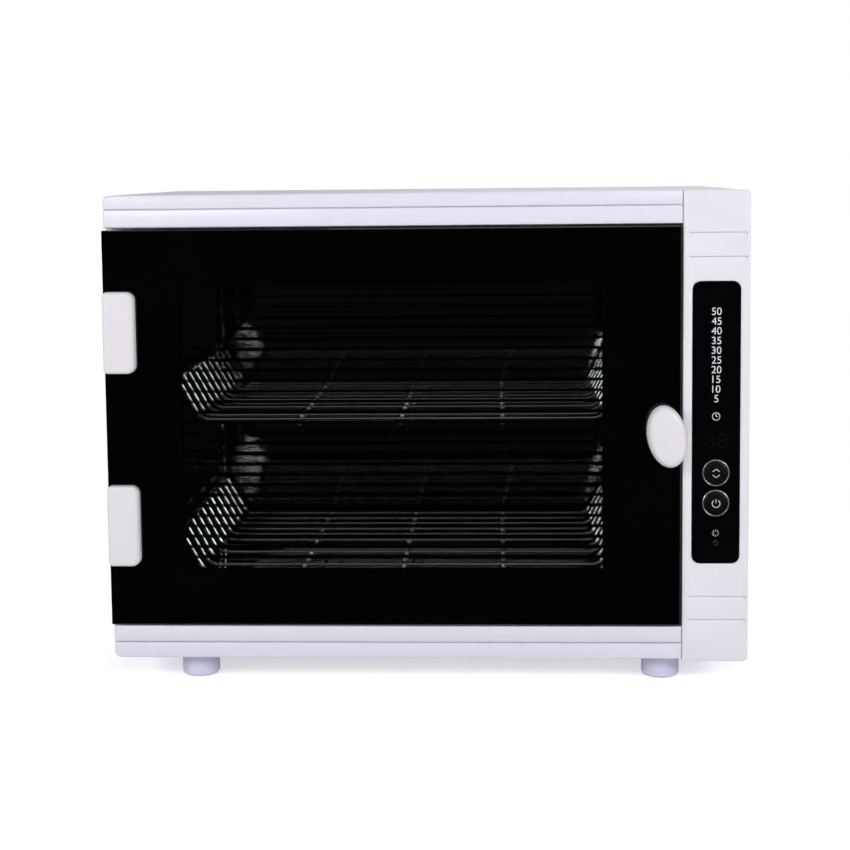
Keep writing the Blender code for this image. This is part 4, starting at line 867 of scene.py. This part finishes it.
def make_baskets(wires, sets, material, welded):
    """Two wire baskets: bent floor wires, a rim along each side, and welded cross wires with ball ends."""
    for name in ("upper_basket", "lower_basket"):
        low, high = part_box(name)
        middle = (low.x + high.x) / 2
        rim_offset = (high.x - low.x) / 2 - RIM_RADIUS
        cross_drop = WIRE_RADIUS + CROSS_RADIUS - WELD
        floor_z = low.z + BALL_RADIUS + cross_drop
        wire_end = rim_offset - RIM_RADIUS - WIRE_RADIUS + WELD
        corner = wire_end - BASKET_HEIGHT * math.tan(BASKET_FLARE)
        first = low.y + WIRE_RADIUS
        pitch = (high.y - low.y - 2 * WIRE_RADIUS) / (WIRE_COUNT - 1)
        top_z = floor_z + BASKET_HEIGHT
        floor_path = [(middle - wire_end, first, top_z), (middle - corner, first, floor_z),
                      (middle + corner, first, floor_z), (middle + wire_end, first, top_z)]
        floor = row_of_wires(wires, f"{name}_floor_wires", floor_path, material, Bend_radius=BEND_RADIUS,
                             Wire_radius=WIRE_RADIUS, Count=WIRE_COUNT, Step=(0, pitch, 0))
        rim_path = [(middle - rim_offset, low.y, top_z), (middle - rim_offset, high.y, top_z)]
        rims = row_of_wires(wires, f"{name}_rims", rim_path, material, Bend_radius=0.0,
                            Wire_radius=RIM_RADIUS, Count=2, Step=(2 * rim_offset, 0, 0))
        start = middle - (CROSS_COUNT - 1) / 2 * CROSS_SPACING
        cross_z = floor_z - cross_drop
        cross_path = [(start, low.y + BALL_RADIUS, cross_z), (start, high.y, cross_z)]
        cross = row_of_wires(wires, f"{name}_cross_wires", cross_path, material, Bend_radius=0.0,
                             Wire_radius=CROSS_RADIUS, Count=CROSS_COUNT, Step=(CROSS_SPACING, 0, 0))
        crossings = [start + number * CROSS_SPACING for number in range(CROSS_COUNT)]
        end_seats = [(x, low.y + BALL_RADIUS, cross_z) for x in crossings]
        ends = set_of_pieces(sets, f"{name}_ball_ends", ball(BALL_RADIUS, 2 * WIRE_SIDES, welded),
                             end_seats, welded)
        weld_seats = [(x, first + number * pitch, floor_z - WIRE_RADIUS / 2)
                      for x in crossings for number in range(1, WIRE_COUNT)]
        welds = set_of_pieces(sets, f"{name}_weld_beads", ball(WELD_BEAD_RADIUS, WIRE_SIDES, welded),
                              weld_seats, welded)
        for piece in (floor, rims, cross, ends, welds):
            dress(piece, "chromed_wire", body_of(name), name)


def make_lamps(clear, metal, brass):
    """Two clear tubes with aluminium caps and contact pins."""
    angles = [math.pi / 2 * step / BEND_STEPS for step in range(BEND_STEPS + 1)]
    for name in ("uv_tube_front", "uv_tube_rear"):
        low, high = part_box(name)
        centre = (0, (low.y + high.y) / 2, (low.z + high.z) / 2)
        ends = (low.x + PIN_LENGTH, high.x - PIN_LENGTH)
        inner = TUBE_RADIUS - TUBE_WALL
        start, stop = ends[0] + CAP_EDGE, ends[1] - CAP_EDGE
        tube = [(inner, start), (TUBE_RADIUS, start), (TUBE_RADIUS, stop), (inner, stop), (inner, start)]
        caps = []
        pins = []
        for end, inward in ((ends[0], 1), (ends[1], -1)):
            edge = [(CAP_RADIUS - CAP_EDGE + CAP_EDGE * math.sin(angle),
                     end + inward * CAP_EDGE * (1 - math.cos(angle))) for angle in angles]
            rim, floor = end + inward * CAP_LENGTH, end + inward * 2 * CAP_EDGE
            caps.append(turned([(0, end), *edge, (CAP_RADIUS, rim), (TUBE_RADIUS, rim), (TUBE_RADIUS, floor),
                                (0, floor)], centre, "X"))
            tip = end - inward * PIN_LENGTH
            shoulder = tip + inward * PIN_RADIUS / 2
            pin = [(0, tip), (PIN_RADIUS / 2, tip), (PIN_RADIUS, shoulder), (PIN_RADIUS, end), (0, end)]
            for side in (-PIN_SPACING / 2, PIN_SPACING / 2):
                pins.append(turned(pin, (0, centre[1] + side, centre[2]), "X", WIRE_SIDES))
        for part, shape, material in (("quartz", turned(tube, centre, "X"), clear),
                                      ("caps", gather(caps), metal), ("pins", gather(pins), brass)):
            dress(new_piece(f"{name}_{part}", shape, material), "quartz", body_of(name), name)


def make_feet(material):
    """Round feet with a soft lower edge and a deep screw recess."""
    for name in ("foot_front_left", "foot_front_right", "foot_rear_left", "foot_rear_right"):
        low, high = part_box(name)
        centre = ((low.x + high.x) / 2, (low.y + high.y) / 2, 0)
        edge = arc((FOOT_RADIUS - FOOT_EDGE, FOOT_EDGE), FOOT_EDGE, -1, 0, BEND_STEPS)
        top = arc((FOOT_RADIUS - SHEET_EDGE, high.z - SHEET_EDGE), SHEET_EDGE, 0, 1, BEND_STEPS // 2)
        profile = [(FOOT_SCREW_BORE, FOOT_RECESS_DEPTH), (FOOT_RECESS_RADIUS, FOOT_RECESS_DEPTH),
                   (FOOT_RECESS_RADIUS, 0), *edge, *top, (FOOT_SCREW_BORE, high.z),
                   (FOOT_SCREW_BORE, FOOT_RECESS_DEPTH)]
        foot = new_piece(f"turned_{name}", turned(profile, centre, "Z"), material)
        dress(foot, "foot_rubber", body_of(name), name)


def pan_head_screw(turn, material):
    """A pan-head screw with a cross slot, seated at the origin, its head towards +Z before the turn."""
    dome_middle = (SCREW_HEAD_RADIUS - SCREW_DOME, SCREW_HEAD_HEIGHT - SCREW_DOME)
    dome = arc(dome_middle, SCREW_DOME, 0, 1, BEND_STEPS)
    tip = SCREW_HEAD_HEIGHT - SCREW_LENGTH
    profile = [(0, tip), (SCREW_SHANK_RADIUS, tip), (SCREW_SHANK_RADIUS, 0), (SCREW_HEAD_RADIUS, 0),
               *dome, (0, SCREW_HEAD_HEIGHT)]
    screw = new_piece("screw_pattern", turned(profile, (0, 0, 0), "Z", 2 * WIRE_SIDES), material)
    half, reach = CROSS_SLOT_WIDTH / 2, CROSS_SLOT_REACH / 2
    up = (SCREW_HEAD_HEIGHT - CROSS_SLOT_DEPTH, SCREW_HEAD_HEIGHT + CROSS_SLOT_DEPTH)
    for across, depth in (((-reach, reach), (-half, half)), ((-half, half), (-reach, reach))):
        tool = new_piece("slot_tool", block(across, depth, up), material)
        cut = screw.modifiers.new("Slot", "BOOLEAN")
        cut.operation = "DIFFERENCE"
        cut.solver = "EXACT"
        cut.object = tool
        settle(screw)
        bpy.data.objects.remove(tool)
    shape = bmesh.new()
    shape.from_mesh(screw.data)
    bmesh.ops.remove_doubles(shape, verts=shape.verts, dist=FINE_MERGE_DISTANCE)
    shape.to_mesh(screw.data)
    shape.free()
    screw.data.transform(turn)
    return screw


def make_screws(tree, material):
    """The back panel's four screws, the feet's four and the one that holds the knob."""
    to_back = Matrix.Rotation(-math.pi / 2, 4, "X")
    down = Matrix.Rotation(math.pi, 4, "X")
    back = [f"back_screw_{number}" for number in (1, 2, 3, 4)]
    feet = [f"foot_screw_{row}_{side}" for row in ("front", "rear") for side in ("left", "right")]
    for name, turn, nodes in (("back_panel_screws", to_back, back), ("foot_screws", down, feet),
                              ("knob_screw_head", to_back, ["knob_screw"])):
        facing = turn @ Vector((0, 0, 1))
        seats = []
        for node in nodes:
            low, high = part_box(node)
            middle = (low + high) / 2
            reach = abs((high - low) @ facing) / 2
            seats.append(middle + facing * (reach - SCREW_HEAD_HEIGHT))
        screws = set_of_pieces(tree, name, pan_head_screw(turn, material), seats, material)
        dress(screws, "zinc_steel", body_of(nodes[0]), *nodes)


def studio_floor():
    """White floor: it keeps the shadow near the feet, fades into the background, and mirrors show it dark."""
    material = bpy.data.materials.new("white_studio_floor")
    material.use_nodes = True
    tree = material.node_tree
    shader = tree.nodes["Principled BSDF"]
    path = add_node(tree, "ShaderNodeLightPath").outputs
    colour = mottled(tree, noise(tree, FLOOR_PATCH), ("F0F0F2", "F3F3F5"))
    tree.links.new(colour, shader.inputs["Base Color"])
    shader.inputs["Roughness"].default_value = FLOOR_ROUGHNESS
    shader.inputs["Specular IOR Level"].default_value = 0.0
    shader.inputs["Emission Color"].default_value = linear("FFFFFF")
    lift = add_node(tree, "ShaderNodeMix", {0: path["Is Camera Ray"], 2: FLOOR_GLOW, 3: FLOOR_LIFT})
    tree.links.new(lift.outputs[0], shader.inputs["Emission Strength"])
    place = add_node(tree, "ShaderNodeTexCoord").outputs["Object"]
    reach = add_node(tree, "ShaderNodeVectorMath", {0: place}, operation="LENGTH").outputs["Value"]
    fade = {"Value": reach, "From Min": FLOOR_FADE[0], "From Max": FLOOR_FADE[1]}
    away = add_node(tree, "ShaderNodeMapRange", fade, interpolation_type="SMOOTHSTEP")
    gone = add_node(tree, "ShaderNodeMath", {0: away, 1: path["Is Camera Ray"]}, operation="MULTIPLY")
    white = add_node(tree, "ShaderNodeEmission", {"Strength": 1.0})
    dark = add_node(tree, "ShaderNodeEmission", {"Strength": FLOOR_MIRRORED})
    faded = add_node(tree, "ShaderNodeMixShader", {0: gone, 1: shader, 2: white})
    seen = add_node(tree, "ShaderNodeMixShader", {0: path["Is Glossy Ray"], 1: faded, 2: dark})
    tree.links.new(seen.outputs["Shader"], tree.nodes["Material Output"].inputs["Surface"])
    return material


def make_world():
    """Even studio surroundings, dark only where the mirror surfaces would show the room in front."""
    world = bpy.data.worlds.new("studio")
    bpy.context.scene.world = world
    world.use_nodes = True
    tree = world.node_tree
    tree.nodes.clear()
    path = add_node(tree, "ShaderNodeLightPath").outputs
    direction = add_node(tree, "ShaderNodeTexCoord").outputs["Generated"]
    ahead = add_node(tree, "ShaderNodeSeparateXYZ", {"Vector": direction}).outputs["Y"]
    turn = {"Value": ahead, "From Min": MIRRORED_TURN[0], "From Max": MIRRORED_TURN[1],
            "To Min": MIRRORED_IN_FRONT, "To Max": MIRRORED_BEHIND}
    mirrored = add_node(tree, "ShaderNodeMapRange", turn)
    even = add_node(tree, "ShaderNodeMix", {0: path["Is Glossy Ray"], 2: EVEN_LIGHT, 3: mirrored})
    level = add_node(tree, "ShaderNodeMix", {0: path["Is Camera Ray"], 2: even, 3: 1.0})
    light = add_node(tree, "ShaderNodeBackground", {"Color": linear("FFFFFF"), "Strength": level})
    add_node(tree, "ShaderNodeOutputWorld", {"Surface": light})


def add_light(name, place, target, size, power):
    """A rectangular area light that faces a target."""
    light = bpy.data.lights.new(name, "AREA")
    light.shape = "RECTANGLE"
    light.size, light.size_y = size
    light.energy = power
    lamp = bpy.data.objects.new(name, light)
    lamp.location = place
    lamp.rotation_mode = "QUATERNION"
    lamp.rotation_quaternion = (Vector(place) - Vector(target)).to_track_quat("Z", "Y")
    bpy.context.scene.collection.objects.link(lamp)


def make_stage():
    """White floor that keeps a soft shadow, the lights and the surroundings."""
    low, high = cad_bounds
    middle = (low + high) / 2
    shape = bmesh.new()
    bmesh.ops.create_grid(shape, x_segments=1, y_segments=1, size=FLOOR_REACH)
    new_piece("studio_floor", shape, studio_floor())
    for name, place, size, power in STUDIO_LIGHTS:
        add_light(name, place, middle, size, power)
    make_world()


def make_camera():
    """Camera where the photograph's stood, a little above the cabinet's top."""
    data = bpy.data.cameras.new("camera")
    data.sensor_width = CAMERA_SENSOR
    data.lens = CAMERA_LENS
    data.shift_y = CAMERA_SHIFT
    camera = bpy.data.objects.new("camera", data)
    across = math.cos(CAMERA_PITCH)
    forward = Vector((math.sin(CAMERA_YAW) * across, math.cos(CAMERA_YAW) * across, -math.sin(CAMERA_PITCH)))
    level = Vector((math.cos(CAMERA_YAW), -math.sin(CAMERA_YAW), 0))
    above = level.cross(forward)
    right = math.cos(CAMERA_ROLL) * level + math.sin(CAMERA_ROLL) * above
    up = math.cos(CAMERA_ROLL) * above - math.sin(CAMERA_ROLL) * level
    turn = Matrix((right, up, -forward)).transposed()
    camera.matrix_world = Matrix.Translation(CAMERA_PLACE) @ turn.to_4x4()
    bpy.context.scene.collection.objects.link(camera)
    bpy.context.scene.camera = camera


def make_cabinet():
    """Dresses every node of the cabinet."""
    paint = powder_coat()
    white = white_abs()
    trim = warm_white_abs()
    black = black_abs()
    film = black_film()
    stainless = polished_stainless()
    wire = chromed_wire()
    zinc = zinc_plate()
    brass = nickel_brass()
    silicone = seal_silicone()
    ink = white_ink()
    for node in ("outer_shell", "back_panel", "base_plate", "front_frame"):
        rounded_copy(node, paint, "painted_case", SHEET_EDGE)
    for node in ("top_bezel", "bottom_bezel"):
        rounded_copy(node, white, "white_plastic", CRISP_EDGE)
    rounded_copy("control_panel", panel_abs(), "white_plastic", CRISP_EDGE)
    for node in ("lamp_holder_front_left", "lamp_holder_front_right", "lamp_holder_rear_left",
                 "lamp_holder_rear_right"):
        rounded_copy(node, white, "white_plastic", MOULDED_EDGE)
    for node in ("chamber_liner", "basket_rail_upper_left", "basket_rail_upper_right",
                 "basket_rail_lower_left", "basket_rail_lower_right"):
        rounded_copy(node, stainless, "polished_steel", PRESSED_EDGE)
    for node in ("hinge_bracket_upper", "hinge_bracket_lower", "hinge_pin_upper", "hinge_pin_lower",
                 "strike_plate"):
        rounded_copy(node, zinc, "zinc_steel", PRESSED_EDGE)
    for node in ("magnet_catch", "door_sensor", "lamp_ballast_front", "lamp_ballast_rear", "power_inlet"):
        rounded_copy(node, black, "black_plastic", MOULDED_EDGE)
    for node in ("inlet_blade_line", "inlet_blade_neutral", "inlet_blade_earth"):
        rounded_copy(node, brass, "brass", PRESSED_EDGE)
    rounded_copy("door_seal", silicone, "seal_rubber", SEAL_EDGE, SEAL_EDGE_STEPS)
    rounded_copy("control_board", board_laminate(), "circuit_board", PRESSED_EDGE)
    rounded_copy("indicator_lens", red_lens(), "indicator", PRESSED_EDGE)
    paint_node("panel_label", film)
    paint_node("time_display", film)
    rounded_copy("door_glass", tinted_glass(), "door_glass", GLASS_EDGE, 1, True)
    make_knob(trim)
    make_hinge_covers(trim)
    make_buttons(button_lacquer(), satin_chrome(), ink)
    make_label_print(ink)
    make_digits(grey_ink())
    sets = set_tree()
    make_baskets(wire_tree(), sets, wire, welded_ends())
    make_lamps(quartz(), cap_aluminium(), brass)
    make_feet(foot_rubber())
    make_screws(sets, zinc)


make_cabinet()
make_stage()
make_camera()
bpy.context.scene.view_settings.view_transform = "Standard"
